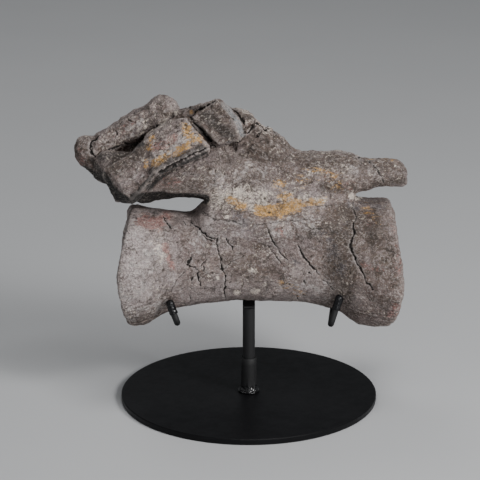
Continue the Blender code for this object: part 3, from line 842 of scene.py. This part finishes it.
# Grain of the bone: it rises towards the rear in the forward bars and the arch, and is level elsewhere
GRAIN_SLOPE = 0.55
GRAIN_PIVOT = (-0.02, 0.0, 0.235)
GRAIN_HEIGHTS = (0.200, 0.232)
GRAIN_PLACES = (-0.035, 0.035)
GRAIN_FINENESS = (42, 330, 330)
CENTRUM_AXIS = 0.140


def grain_places(points):
    """The points in axes that follow the grain: along it, through the bone and across it."""
    slope = GRAIN_SLOPE * ramp(points[:, 2], *GRAIN_HEIGHTS) * ramp(-points[:, 0], *GRAIN_PLACES)
    x, y, z = (points - np.array(GRAIN_PIVOT)).T
    cosine, sine = np.cos(slope), np.sin(slope)
    return np.stack([x * cosine + z * sine, y, z * cosine - x * sine], axis=1)


def flakes(points):
    """Small ledges where thin layers of the surface have flaked away."""
    broad = field(points, 40, octaves=5, increment=0.75, offset=(5, 1, 9))
    small = field(points, 95, octaves=4, increment=0.7, offset=(2, 8, 4))
    return BROAD_FLAKES * (ramp(broad, -0.03, 0.03) - 0.5) + SMALL_FLAKES * (ramp(small, -0.05, 0.05) - 0.5)


def spots(points, tree, seed, count, chance, radii):
    """1 at the middle of each of many small round spots, scattered by chance, and 0 outside them."""
    random = np.random.default_rng(seed)
    centres = random.choice(len(points), count, replace=False, p=chance / chance.sum())
    share = np.zeros(len(points))
    for centre, radius in zip(centres, random.uniform(*radii, count)):
        for _, k, distance in tree.find_range(Vector(points[centre]), radius):
            share[k] = max(share[k], 1 - (distance / radius) ** 2)
    return share


def end_ridges(points):
    """Low ridges that fan out along the lower flares of the centrum's two ends."""
    x, y, z = points.T
    angle = np.arctan2(z - CENTRUM_AXIS, -y)
    lines = field(np.stack([x * 25, angle * 20, angle * 0], axis=1), 1.0, offset=(3, 0, 6))
    flare = np.maximum(ramp(-x, *LEFT_FLARE), ramp(x, *RIGHT_FLARE))
    flare *= ramp(np.hypot(y, z - CENTRUM_AXIS), *FLARE_RADII)
    return lines * flare * ramp(CENTRUM_AXIS - 0.010 - z, 0.0, 0.030)


def fine_relief(points, rim, crust, pits):
    """Flakes, grain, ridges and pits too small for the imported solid."""
    rough = 0.45 + 0.55 * crust
    pocks = field(points, 230, octaves=4, increment=0.7, offset=(3, 9, 5))
    grain = field(grain_places(points) * np.array(GRAIN_FINENESS), 1.0, offset=(1, 5, 2))
    granules = field(points, 400, octaves=2, increment=0.5, offset=(8, 2, 6))
    relief = flakes(points) * rough + POCKS * pocks * rough + GRAIN * grain
    return relief + END_RIDGES * end_ridges(points) + GRANULES * granules * (0.15 + rim) - PIT_DEPTH * pits


def hollows(mesh, points, normals, steps, depth):
    """How far each vertex lies below the smoothed surface round it, in parts of a full depth."""
    ends = np.empty(len(mesh.edges) * 2, np.int32)
    mesh.edges.foreach_get("vertices", ends)
    first, second = ends.reshape(-1, 2).T
    total = len(points)
    neighbours = np.bincount(ends, minlength=total)[:, None]
    smooth = points.copy()
    for _ in range(steps):
        summed = [
            np.bincount(first, smooth[second, axis], total)
            + np.bincount(second, smooth[first, axis], total)
            for axis in range(3)
        ]
        smooth = np.stack(summed, axis=1) / neighbours
    return np.einsum("ij,ij->i", smooth - points, normals) / depth


def store(mesh, name, values):
    """Keep one number, or one place, for each vertex."""
    if values.ndim == 1:
        attribute = mesh.attributes.new(name, "FLOAT", "POINT")
        attribute.data.foreach_set("value", values.astype(np.float32))
    else:
        attribute = mesh.attributes.new(name, "FLOAT_VECTOR", "POINT")
        attribute.data.foreach_set("vector", values.astype(np.float32).ravel())


def refine_near(bone, chosen):
    """Split the faces round the chosen vertices, so that they can hold a narrow groove."""
    form = bmesh.new()
    form.from_mesh(bone.data)
    form.verts.ensure_lookup_table()
    edges = [edge for edge in form.edges if chosen[edge.verts[0].index] and chosen[edge.verts[1].index]]
    bmesh.ops.subdivide_edges(form, edges=edges, cuts=1, use_grid_fill=True)
    form.to_mesh(bone.data)
    form.free()


def near_points(points):
    tree = KDTree(len(points))
    for k, point in enumerate(points.tolist()):
        tree.insert(point, k)
    tree.balance()
    return tree


def rim_share(points):
    """1 on the rough rims of the centrum's two ends, fading inward."""
    low = ramp(RIM_TOP - points[:, 2], 0.0, 0.006)
    left = ramp(-points[:, 0], *LEFT_RIM)
    right = ramp(points[:, 0], *RIGHT_RIM)
    return np.maximum(left, right) * low


def crust_share(points):
    """Rough matrix clings to the bone: most on the broken top, some on the arch, little on the waist."""
    top = ramp(points[:, 2], *CRUSTED_TOP)
    arch = ARCH_CRUST * ramp(points[:, 2], *CRUSTED_ARCH)
    return np.maximum(np.maximum(top, arch), WAIST_CRUST)


def plain_vertebra():
    """The bone's forms in one skin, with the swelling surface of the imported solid."""
    grown = [centrum(), *(limb(*sizes) for sizes in GROWN_LIMBS.values())]
    broken = [near_bar(), *(limb(*sizes) for sizes in BROKEN_LIMBS.values())]
    broken += [lump(corners) for corners in (*LUMPS.values(), *crumb_corners())]
    bone = fuse("fossil_vertebra", grown + broken, BONE_VOXEL)
    fillet_seams(bone, grown)
    for form in grown + broken:
        form.free()
    points, normals = surface_of(bone.data)
    move_points(bone.data, points + normals * coarse_relief(points)[:, None])
    return bone


def weather(bone):
    """Cut the cracks, roughen the surface, and keep what the finish needs to know at each vertex."""
    mesh = bone.data
    tree = BVHTree.FromObject(bone, bpy.context.evaluated_depsgraph_get())
    refine_near(bone, crack_shares(surface_of(mesh), tree, extra_width=CRACK_SPREAD)[0] > 0)

    points, normals = surface_of(mesh)
    rim, crust = rim_share(points), crust_share(points)
    neighbours = near_points(points)
    pits = spots(points, neighbours, PIT_SEED, PITS, 0.25 + crust, PIT_RADII)
    depths, masks, lips = crack_shares((points, normals), tree)
    points += normals * (fine_relief(points, rim, crust, pits) - depths)[:, None]
    move_points(mesh, points)
    normals = surface_of(mesh)[1]
    kept = {
        "crack": masks,
        "lip": lips,
        "rim": rim,
        "crust": crust,
        "hollow": hollows(mesh, points, normals, *HOLLOW),
        "basin": hollows(mesh, points, normals, *BASIN),
        "grain_place": grain_places(points),
    }
    kept.update(stain_shares((points, normals), tree))
    for name, values in kept.items():
        store(mesh, name, values)


def vertebra():
    bone = plain_vertebra()
    weather(bone)
    bone.data.calc_loop_triangles()
    facets = bone.modifiers.new("Facets", "DECIMATE")
    facets.ratio = min(BONE_TRIANGLES / len(bone.data.loop_triangles), 1.0)
    apply_modifiers(bone)
    bone.data.shade_smooth()
    bone.data.materials.append(fossil_material())
    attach(bone, "root")
    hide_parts("vertebra")


# Stains, painted light, painted shade and painted shadows by view and kind: radius, strength, then the
# places of the stroke
STAINS = {
    "photo": {
        "ochre": [
            (6, 0.9, [(186, 127), (189, 134)]), (6, 0.8, [(193, 139), (201, 141)]),
            (5, 0.9, [(155, 163), (172, 154), (188, 145)]), (4, 0.65, [(152, 138), (150, 148)]),
            (3, 0.8, [(146, 161), (146, 166)]), (8, 0.95, [(262, 210), (280, 211), (297, 206)]),
            (8, 0.6, [(278, 186), (286, 196)]), (6, 0.78, [(231, 200), (242, 206)]),
            (6, 0.6, [(300, 204), (323, 203)]), (9, 0.44, [(302, 181), (318, 172), (336, 182)]),
            (7, 0.3, [(366, 210), (380, 222)]), (6, 0.35, [(282, 284), (300, 292)]),
        ],
        "chalk": [
            (14, 0.62, [(212, 200), (236, 197), (262, 200)]),
            (8, 0.48, [(270, 196), (300, 199), (322, 201)]), (5, 0.8, [(238, 192), (246, 196)]),
            (2.8, 1.0, [(251, 270), (256, 271)]), (2.6, 0.9, [(235, 292), (238, 293)]),
            (2.8, 0.9, [(252, 291), (258, 291)]), (2.4, 0.9, [(225, 217), (228, 217)]),
            (2.0, 0.85, [(225, 228)]), (2.0, 0.85, [(218, 278)]), (2.0, 0.8, [(265, 285)]),
            (4, 0.8, [(352, 196), (359, 197)]), (8, 0.5, [(158, 240), (164, 262)]),
            (8, 0.42, [(168, 146), (182, 138)]), (6, 0.72, [(254, 113), (262, 118), (270, 128)]),
            (4, 0.62, [(146, 134), (160, 124), (176, 113)]), (10, 0.3, [(305, 176), (345, 168)]),
            (9, 0.3, [(110, 150), (150, 124)]),
        ],
        "rust": [
            (8, 0.9, [(143, 220), (156, 224), (166, 219)]),
            (3.5, 0.95, [(165, 246), (168, 256), (173, 268)]), (3, 0.7, [(188, 270)]),
            (6, 0.9, [(174, 139), (164, 146), (156, 148)]), (7, 0.45, [(366, 266), (380, 271)]),
            (6, 0.35, [(394, 212), (399, 240), (399, 270)]), (8, 0.35, [(368, 218), (374, 232)]),
            (6, 0.3, [(275, 232), (300, 236)]), (9, 0.4, [(328, 176), (346, 184)]),
            (8, 0.38, [(158, 182), (178, 184)]), (6, 0.38, [(116, 133), (134, 127)]),
            (5, 0.62, [(78, 148), (79, 158), (86, 166)]), (5, 0.62, [(391, 314), (397, 307)]),
        ],
        "slate": [
            (7, 0.6, [(236, 217), (250, 226)]), (10, 0.5, [(330, 240), (342, 270)]),
            (7, 0.5, [(138, 214), (162, 214)]), (9, 0.5, [(352, 203), (384, 205)]),
            (6, 0.4, [(283, 250), (296, 262)]), (8, 0.35, [(320, 232), (345, 225)]),
        ],
        "bevel": [(3.6, 1.0, [(224, 105), (231, 112), (238, 122), (243, 135)])],
        # Painted shadows: near-black strokes under the near bar and its wing, under the knob and in the
        # hollow between the bars, where shade falls
        "painted_shadow": [
            (4.5, 0.52, [(150, 172), (163, 164), (178, 157), (202, 147)]),
            (2.5, 0.6, [(134, 197), (144, 184), (154, 174)]),
            (3.5, 0.8, [(149, 188), (156, 180), (166, 172), (186, 163), (206, 154)]),
            (5, 1.0, [(103, 176), (111, 189), (119, 197), (128, 202)]),
            (5, 1.0, [(133, 200), (150, 199), (170, 198), (188, 198), (205, 199)]),
            (4, 1.0, [(134, 197), (150, 196), (164, 195)]),
            (4, 0.9, [(84, 169), (92, 174), (100, 178)]),
            (7, 0.46, [(101, 157), (116, 155), (134, 148)]), (3, 0.9, [(133, 146), (142, 144)]),
            (9, 0.47, [(206, 116), (230, 136)]), (4, 0.5, [(92, 160), (97, 168), (103, 174)]),
        ],
        # Painted light: lighter strokes where light falls brightly, on the left end, the top edge of the
        # centrum, the arch's foot and the lower middle
        "light": [
            (26, 1.0, [(128, 230), (134, 262), (134, 296)]),
            (12, 0.62, [(190, 294), (240, 289), (300, 294)]), (16, 0.55, [(158, 228), (166, 276)]),
            (8, 0.6, [(136, 208), (168, 212), (192, 214)]),
            (14, 0.3, [(212, 198), (262, 190), (320, 200)]), (12, 0.4, [(160, 158), (186, 132)]),
            (8, 0.35, [(178, 108), (210, 103)]), (10, 0.3, [(350, 168), (380, 172)]),
            (12, 0.85, [(188, 214), (203, 208), (206, 228)]), (8, 0.9, [(130, 209), (150, 210)]),
            (10, 0.5, [(156, 232), (164, 262), (160, 290)]), (8, 0.6, [(186, 109), (200, 105)]),
            (10, 0.45, [(228, 162), (238, 150)]), (8, 0.4, [(278, 200), (284, 200)]),
            (12, 0.8, [(306, 292), (330, 290), (350, 298)]), (8, 0.5, [(300, 272), (320, 284)]),
        ],
        # Painted shade: darker strokes on faces turned from the light, such as the right flare, the spine
        # slope, the block and under the wing
        "dark": [
            (20, 0.75, [(340, 225), (340, 290)]), (24, 0.3, [(382, 215), (386, 290)]),
            (16, 0.7, [(256, 148), (284, 156)]), (12, 0.65, [(170, 186), (204, 186)]),
            (9, 0.6, [(384, 172), (400, 176)]), (16, 0.6, [(202, 114), (232, 134)]),
            (16, 0.45, [(225, 160), (345, 165), (398, 172)]),
            (10, 0.55, [(78, 152), (84, 160), (92, 166)]),
            (9, 0.8, [(114, 170), (130, 160), (142, 150)]), (7, 0.6, [(138, 192), (150, 184)]),
            (11, 0.7, [(214, 104), (228, 118)]), (7, 0.6, [(208, 132), (218, 138)]),
            (7, 0.8, [(236, 112), (250, 116)]), (9, 0.5, [(184, 175), (210, 172)]),
            (11, 0.6, [(246, 182), (264, 176)]), (7, 1.0, [(324, 187), (352, 188)]),
            (12, 0.8, [(303, 162), (350, 160), (384, 166)]), (14, 0.6, [(262, 134), (284, 148)]),
            (5, 0.8, [(372, 184), (403, 180)]), (12, 0.9, [(344, 214), (370, 220), (375, 236)]),
            (9, 0.7, [(342, 240), (342, 275)]), (8, 0.7, [(312, 231), (320, 231)]),
            (12, 0.5, [(358, 262), (366, 274)]), (13, 0.5, [(230, 262), (262, 282)]),
            (8, 0.6, [(132, 321), (160, 313)]),
        ],
        "pale": [
            (24, 0.45, [(136, 240), (140, 280), (150, 250)]),
            (10, 0.5, [(118, 290), (130, 316), (160, 304)]), (12, 0.5, [(272, 228), (310, 224)]),
            (12, 0.45, [(290, 285), (325, 292)]), (18, 0.35, [(212, 186), (256, 172)]),
            (14, 0.4, [(200, 240), (240, 234)]), (10, 0.35, [(350, 172), (372, 172)]),
            (6, 0.45, [(180, 105), (206, 103)]), (12, 0.5, [(156, 162), (192, 134)]),
            (12, 0.4, [(108, 146), (160, 112)]), (9, 0.4, [(110, 178), (140, 172)]),
        ],
        "umber": [
            (24, 0.6, [(338, 235), (345, 270)]), (20, 0.5, [(375, 215), (384, 280)]),
            (16, 0.45, [(298, 178), (335, 172)]), (14, 0.45, [(256, 148), (282, 152)]),
            (18, 0.35, [(236, 258), (262, 262)]), (14, 0.45, [(108, 150), (138, 150)]),
            (16, 0.4, [(165, 182), (200, 180)]), (12, 0.4, [(90, 150), (84, 160)]),
        ],
    },
    "far": {
        "ochre": [
            (11, 0.6, [(-20, 208), (6, 212)]), (9, 0.5, [(-96, 262), (-82, 270)]),
            (8, 0.4, [(62, 216), (78, 220)]),
        ],
        "chalk": [
            (16, 0.48, [(-34, 204), (20, 206)]), (5, 0.8, [(24, 150), (30, 152)]),
            (4, 0.8, [(-60, 122)]), (10, 0.4, [(-110, 252), (-90, 262)]),
        ],
        "rust": [
            (10, 0.55, [(-96, 150), (-88, 166)]), (8, 0.45, [(118, 130), (124, 150)]),
            (7, 0.4, [(-58, 238), (-44, 240)]),
        ],
        "slate": [(12, 0.5, [(64, 130), (78, 156)]), (12, 0.4, [(-30, 160), (-12, 150)])],
        "pale": [
            (26, 0.6, [(-108, 120), (-104, 156)]), (20, 0.45, [(14, 132), (44, 146)]),
            (18, 0.4, [(20, 232), (60, 236)]),
        ],
        "umber": [
            (26, 0.5, [(92, 130), (104, 168)]), (20, 0.45, [(-40, 130), (-10, 140)]),
            (20, 0.4, [(-60, 232), (-20, 250)]),
        ],
    },
    "left": {
        "pale": [(28, 0.55, [(-20, 150), (16, 158)])],
        "umber": [(18, 0.5, [(14, 112), (30, 124)])],
        "rust": [(9, 0.5, [(-26, 126), (-20, 138)])],
        "chalk": [(6, 0.6, [(22, 166), (26, 170)]), (12, 0.4, [(-8, 118), (6, 112)])],
    },
    "right": {
        "umber": [(34, 0.55, [(-10, 150), (20, 136)])],
        "pale": [(16, 0.5, [(-34, 120), (-22, 108)])],
        "rust": [(12, 0.5, [(26, 160), (34, 150)])],
        "ochre": [(9, 0.45, [(-22, 168), (-10, 174)])],
        "chalk": [(5, 0.7, [(-4, 128), (0, 130)])],
    },
    "under": {
        "pale": [(18, 0.5, [(-104, 0), (-84, 6)]), (14, 0.45, [(10, 0), (34, 4)])],
        "umber": [(20, 0.5, [(70, 0), (100, 4)]), (16, 0.45, [(-40, 0), (-20, 4)])],
        "chalk": [(7, 0.55, [(-10, 8), (-2, 10)])],
    },
    "top": {
        "chalk": [(12, 0.45, [(-20, 4), (6, 6)]), (8, 0.45, [(66, 2), (84, 4)])],
        "ochre": [(8, 0.5, [(-50, 14), (-40, 18)]), (7, 0.45, [(120, 0), (134, 2)])],
        "umber": [(14, 0.45, [(24, 0), (50, 2)])],
        "pale": [(12, 0.45, [(96, 0), (118, 0)])],
    },
}
# A stain fades out between these parts of its radius
STAIN_FADE = (0.2, 1.6)


def stain_shares(surface, tree):
    """How strongly each kind of stain, painted light, painted shade and painted shadow lies at each point,
    fading from the middle of its strokes.
    """
    points, _ = surface
    shares = {kind: np.zeros(len(points)) for kind in STAINS["photo"]}
    for view, kinds in STAINS.items():
        places = flat_places(points, view)
        strengths = {}
        for kind, strokes in kinds.items():
            found = []
            for radius, strength, stroke in strokes:
                distance, _ = stroke_distance(places, stroke)
                found.append(strength * (1 - ramp(distance / radius, *STAIN_FADE)))
            strengths[kind] = np.max(found, axis=0)
        marked = np.max(list(strengths.values()), axis=0) > 0
        seen = open_share(tree, surface, view, marked, STAIN_LIFT)
        for kind, strength in strengths.items():
            shares[kind] = np.maximum(shares[kind], strength * seen)
    return shares


# Finishes

# Colours of the bone, of what stains it, and of the painted shadow
TAUPE = (0.200, 0.158, 0.141)
MAUVE = (0.230, 0.184, 0.172)
BEIGE = (0.280, 0.222, 0.188)
ASH = (0.380, 0.330, 0.305)
DEEP_BROWN = (0.100, 0.072, 0.057)
PALE = (0.520, 0.470, 0.450)
UMBER = (0.110, 0.079, 0.058)
SLATE = (0.128, 0.114, 0.122)
RUST = (0.330, 0.150, 0.125)
CHALK = (0.820, 0.715, 0.610)
OCHRE = (0.600, 0.330, 0.095)
BEVEL_GREY = (0.280, 0.285, 0.292)
# Near-black of the painted shadows
PAINTED_SHADOW_BLACK = (0.014, 0.013, 0.012)
CRACK_BLACK = (0.018, 0.014, 0.012)
HOLLOW_BROWN = (0.062, 0.046, 0.036)
LILAC = (0.310, 0.266, 0.260)
WARMTH = (0.960, 0.905, 0.918)
# Dark and light tone of each black, and between which heights the gloss of the weld fades
BLACK_PAINT = ((0.004, 0.004, 0.0045), (0.008, 0.008, 0.009))
BLACK_PLASTIC = ((0.003, 0.003, 0.004), (0.007, 0.007, 0.008))
WELD_GLOSS_FADE = (0.0125, 0.0150)


def grained(nodes, scale, drawn=1.0, detail=4.0, roughness=0.7, shift=0.0):
    """Noise drawn out along the grain of the bone."""
    grain = nodes.attribute("grain_place", "Vector")
    place = nodes.placed(grain, (scale / drawn, scale, scale), (shift, 0, 0))
    return nodes.noise(1.0, detail, roughness, distortion=0.3, place=place)


def bone_tones(nodes):
    """The plain bone: broad patches and drifts, pale clouds and brown blotches, then painted light and
    painted shade where the light and dark strokes lie.
    """
    patches = nodes.step(nodes.noise(13, detail=3), 0.38, 0.62)
    drifts = nodes.step(grained(nodes, 27, 1.7, 5, 0.65, 17.0), 0.47, 0.60)
    shades = nodes.step(grained(nodes, 33, 1.7, 5, 0.65, 63.0), 0.48, 0.60)
    blotches = nodes.step(grained(nodes, 48, 1.5, 6, 0.7, 41.5), 0.42, 0.60)
    clouds = nodes.step(nodes.noise(75, 6, 0.75, 0.6), 0.47, 0.63)
    browns = nodes.step(nodes.noise(95, 6, 0.75, 0.8), 0.49, 0.63)
    colour = nodes.blend(patches, TAUPE, MAUVE)
    colour = nodes.coat(colour, BEIGE, blotches, 0.6)
    colour = nodes.coat(colour, LILAC, drifts, 0.70)
    colour = nodes.coat(colour, DEEP_BROWN, shades, 0.65)
    colour = nodes.coat(colour, ASH, clouds, 0.5)
    colour = nodes.coat(colour, DEEP_BROWN, browns, 0.6)
    # Painted light: paler where the light strokes lie
    colour = nodes.coat(colour, PALE, nodes.attribute("light"), 0.65)
    # Painted shade: darker where the dark strokes lie
    colour = nodes.coat(colour, UMBER, nodes.attribute("dark"), 0.9)
    return nodes.scaled(colour, WARMTH)


# Stains that break up: colour, scale of the blotches, how drawn out, most cover, shift of the noise
BROKEN_STAINS = {
    "pale": (PALE, 80, 1.3, 0.80, 1.5),
    "umber": (UMBER, 80, 1.3, 0.75, 3.5),
    "slate": (SLATE, 105, 1.4, 0.75, 5.5),
    "rust": (RUST, 130, 1.4, 0.75, 7.5),
    "chalk": (CHALK, 150, 1.6, 0.90, 9.5),
    "ochre": (OCHRE, 150, 2.8, 0.94, 11.5),
}
# How much finer the crumbs of a stain are than its blotches, and how far their noise is shifted
CRUMB_FINENESS = 3.6
CRUMB_SHIFT = 0.7


def stained(nodes, colour):
    """Stains in ragged blotches and crumbs, near-black painted shadows under the bars and wings, and the
    smooth bevels.
    """
    for kind, (tint, scale, drawn, most, shift) in BROKEN_STAINS.items():
        blotches = nodes.step(grained(nodes, scale, drawn, 6, 0.7, shift), 0.36, 0.64)
        crumbs = grained(nodes, scale * CRUMB_FINENESS, drawn, 3, 0.75, shift + CRUMB_SHIFT)
        crumbs = nodes.product(nodes.step(crumbs, 0.38, 0.62), 0.48)
        share = nodes.sum(nodes.attribute(kind), nodes.product(blotches, 0.45), crumbs)
        colour = nodes.coat(colour, tint, nodes.step(share, 0.86, 1.20, 0.0, most))
    # Painted shadow: the colour goes near-black under the bars and wings
    colour = nodes.coat(colour, PAINTED_SHADOW_BLACK, nodes.step(nodes.attribute("painted_shadow"), 0.20, 0.70, 0.0, 0.95))
    return nodes.coat(colour, BEVEL_GREY, nodes.step(nodes.attribute("bevel"), 0.35, 0.75, 0.0, 0.9))


# Hairs: colour, scale, shift of the noise, where they set in and are full, most cover
HAIRS = [
    (HOLLOW_BROWN, 120, 71.0, 0.40, 0.52, 0.62),
    (PALE, 150, 83.0, 0.58, 0.46, 0.55),
    (PALE, 210, 97.0, 0.46, 0.54, 0.45),
]
HAIR_HALF_WIDTH = 0.032


def speckled(nodes, colour):
    """Thin wandering hairs, streaks along the grain and fine specks, over stained and plain bone alike."""
    for tint, scale, shift, low, high, most in HAIRS:
        lines = grained(nodes, scale, 1.0, 3, 0.65, shift)
        places = nodes.step(nodes.noise(38, detail=3, distortion=0.4), low, high)
        rise = nodes.step(lines, 0.5 - HAIR_HALF_WIDTH, 0.5)
        fall = nodes.step(lines, 0.5 + HAIR_HALF_WIDTH, 0.5)
        colour = nodes.coat(colour, tint, rise, fall, places, most)
    streaks = nodes.step(grained(nodes, 320, 5.0, 5), 0.36, 0.64, 0.90, 1.10)
    mottle = nodes.step(nodes.noise(260, roughness=0.75), 0.37, 0.63, 0.86, 1.15)
    specks = nodes.step(nodes.noise(620, 3, 0.75), 0.36, 0.64, 0.74, 1.32)
    for factor in (streaks, mottle, specks):
        colour = nodes.scaled(colour, factor)
    return colour


def weathered(nodes, colour):
    """Worn light edges, dirt in the hollows, painted shade with some dirt in the broad basins, ragged white
    flecks, fine crackle and dark cracks.
    """
    hollow = nodes.attribute("hollow")
    worn = nodes.step(hollow, -0.25, -1.5, 0.0, 0.55)
    dirty = nodes.step(hollow, 0.15, 1.4, 0.0, 0.85)
    rough = nodes.product(nodes.attribute("crust"), 0.17)
    flecks = nodes.step(grained(nodes, 450, 1.4, 3, 0.7, 21.5), 0.57, 0.65)
    flecked = nodes.step(nodes.sum(nodes.noise(42), rough), 0.46, 0.64)
    pits = nodes.step(grained(nodes, 400, 1.3, 3, 0.7, 33.5), 0.57, 0.65)
    pitted = nodes.step(nodes.noise(45, detail=3, distortion=0.5), 0.44, 0.60)
    uneven = nodes.step(nodes.noise(150, detail=3), 0.42, 0.62)
    colour = nodes.coat(colour, ASH, worn)
    colour = nodes.coat(colour, CHALK, flecks, flecked, 0.85)
    colour = nodes.coat(colour, HOLLOW_BROWN, pits, pitted, 0.80)
    colour = nodes.coat(colour, PALE, nodes.attribute("lip"), uneven, 0.55)
    colour = nodes.coat(colour, HOLLOW_BROWN, nodes.crackle(58, 0.055), 0.75)
    colour = nodes.coat(colour, HOLLOW_BROWN, dirty)
    # Painted shade, with some dirt: darker in the broad basins, where less light reaches
    colour = nodes.coat(colour, DEEP_BROWN, nodes.step(nodes.attribute("basin"), 0.2, 1.6, 0.0, 0.55))
    return nodes.coat(colour, CRACK_BLACK, nodes.step(nodes.attribute("crack"), 0.15, 0.85))


def fossil_material():
    nodes = Nodes("fossil_bone")
    colour = weathered(nodes, speckled(nodes, stained(nodes, bone_tones(nodes))))
    # Painted shade: the dark strokes also multiply the colour darker
    shade = nodes.step(nodes.attribute("dark"), 0.1, 1.0, 1.0, 0.66)
    # Painted shadow: the shadow strokes also multiply the colour darker
    shadow_darkening = nodes.step(nodes.attribute("painted_shadow"), 0.20, 0.80, 1.0, 0.40)
    nodes.give("Base Color", nodes.scaled(colour, nodes.product(shade, shadow_darkening)))
    nodes.give("Roughness", nodes.step(nodes.noise(160), 0.3, 0.7, 0.62, 0.88))
    granules = nodes.product(nodes.step(nodes.cells(430), 0.1, 0.6, 1.0, 0.0), nodes.attribute("rim"))
    normal = nodes.bump(nodes.noise(240, 8, 0.8), 0.0020)
    normal = nodes.bump(grained(nodes, 440, 5.0), 0.0008, 0.8, normal)
    normal = nodes.bump(nodes.noise(1000, detail=3), 0.0007, 0.9, normal)
    nodes.give("Normal", nodes.bump(granules, 0.0008, 0.8, normal))
    return nodes.material


def plate_paint():
    """Satin black, dull on the wide plate."""
    nodes = Nodes("plate_paint")
    nodes.give("Base Color", nodes.blend(nodes.noise(30), *BLACK_PAINT))
    nodes.give("Roughness", nodes.step(nodes.noise(90, detail=3), 0.3, 0.7, 0.36, 0.46))
    nodes.give("Specular IOR Level", 0.12)
    nodes.give("Normal", nodes.bump(nodes.noise(1400, detail=2), 0.00004, 0.5))
    return nodes.material


def rod_paint():
    """The same black on the upright parts: a broad sheen, and a wet gloss on the weld at the foot."""
    nodes = Nodes("rod_paint")
    nodes.give("Base Color", nodes.blend(nodes.noise(30), *BLACK_PAINT))
    upright = nodes.step(nodes.height(), *WELD_GLOSS_FADE)
    nodes.give("Roughness", nodes.step(upright, 0.0, 1.0, 0.24, 0.66))
    nodes.give("Specular IOR Level", 0.50)
    return nodes.material


def shrunk_plastic():
    nodes = Nodes("prong_sleeve")
    nodes.give("Base Color", nodes.blend(nodes.noise(200), *BLACK_PLASTIC))
    nodes.give("Roughness", nodes.step(nodes.noise(300), 0.3, 0.7, 0.20, 0.30))
    nodes.give("Specular IOR Level", 0.30)
    return nodes.material


# Stand

def join_stand(piece, node, material):
    """A piece of the stand takes the place of its node, which it hides, and the given material."""
    piece.data.materials.clear()
    piece.data.materials.append(material)
    piece.data.shade_smooth()
    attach(piece, "root")
    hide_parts(node)


def socket_profile(foot, weld_top):
    """Radius and height of the points round the socket's wall: up its bore, down its outside and weld."""
    bore = POST_DIAMETER / 2 + GAP
    outside = SOCKET_DIAMETER / 2
    profile = [(bore, foot + 0.001), (bore, SOCKET_TOP - SOCKET_EDGE), (bore + SOCKET_EDGE, SOCKET_TOP)]
    profile += [(outside - SOCKET_EDGE, SOCKET_TOP), (outside, SOCKET_TOP - SOCKET_EDGE)]
    profile += [(outside, weld_top + (SOCKET_TOP - weld_top) * k / 4) for k in (3, 2, 1, 0)]
    for k in range(1, WELD_STEPS + 1):
        angle = math.pi / 2 * k / WELD_STEPS
        profile.append((
            WELD_RADIUS - (WELD_RADIUS - outside) * math.cos(angle),
            weld_top - WELD_HEIGHT * 0.8 * math.sin(angle),
        ))
    profile += [(WELD_RADIUS - 0.0003, foot + 0.0004), (WELD_RADIUS - 0.0008, foot)]
    return profile + [(bore + SOCKET_EDGE, foot)]


def welded_socket(paint):
    """The tube on the plate, with a lumpy bead of weld run round its foot."""
    foot = DISC_THICKNESS + GAP
    weld_top = foot + WELD_HEIGHT
    profile = socket_profile(foot, weld_top)
    form = bmesh.new()
    rows = []
    for turn in range(SOCKET_STEPS):
        angle = 2 * math.pi * turn / SOCKET_STEPS
        across, along = math.cos(angle), math.sin(angle)
        row = []
        for radius, height in profile:
            bead = min(max((weld_top + 0.0015 - height) / 0.003, 0.0), 1.0)
            bead *= radius > SOCKET_DIAMETER / 2 - SOCKET_EDGE
            lumps = noise.fractal(Vector((across * 2.6, along * 2.6, height * 160)), 1.0, 2.0, 3)
            ripple = 0.5 + 0.5 * math.sin(WELD_RIPPLES * angle + height * 700)
            swell = bead * (WELD_LUMPS * lumps + WELD_RIPPLE_HEIGHT * ripple)
            wide = min(radius + swell, WELD_RADIUS)
            row.append(form.verts.new((across * wide, along * wide, height)))
        rows.append(row)
    for row, following in zip(rows, rows[1:] + rows[:1]):
        for k in range(len(profile)):
            after = (k + 1) % len(profile)
            form.faces.new((row[k], following[k], following[after], row[after]))
    bmesh.ops.recalc_face_normals(form, faces=form.faces)
    mesh = bpy.data.meshes.new("welded_socket")
    form.to_mesh(mesh)
    form.free()
    join_stand(show("welded_socket", mesh), "base_socket", paint)


def rounder_copy(node, material, voxel):
    """A finer piece over the facets of a bent rod or of a sleeve."""
    form = bmesh.new()
    form.from_mesh(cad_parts[node].data)
    piece = fuse(f"fine_{node}", [form], voxel)
    form.free()
    smooth = piece.modifiers.new("Rounder", "SMOOTH")
    smooth.iterations = ROUNDER_STEPS
    apply_modifiers(piece)
    points, normals = surface_of(piece.data)
    swell = np.full(len(points), voxel * 0.25)
    if node.endswith("_sleeve"):
        swell += SLEEVE_WRINKLE * field(points, 420, octaves=2)
    move_points(piece.data, points + normals * swell[:, None])
    join_stand(piece, node, material)


def finish_stand():
    plate, rod, plastic = plate_paint(), rod_paint(), shrunk_plastic()
    welded_socket(rod)
    for name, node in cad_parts.items():
        if name.endswith("_sleeve"):
            rounder_copy(name, plastic, SLEEVE_VOXEL)
        elif name.endswith("_yoke") or name == "crossbar":
            rounder_copy(name, rod, ROD_VOXEL)
        elif name not in ("vertebra", "base_socket"):
            node.data.materials.clear()
            node.data.materials.append(plate if name == "base_disc" else rod)


add_camera()
add_floor()
add_lights()
add_sky()
vertebra()
finish_stand()
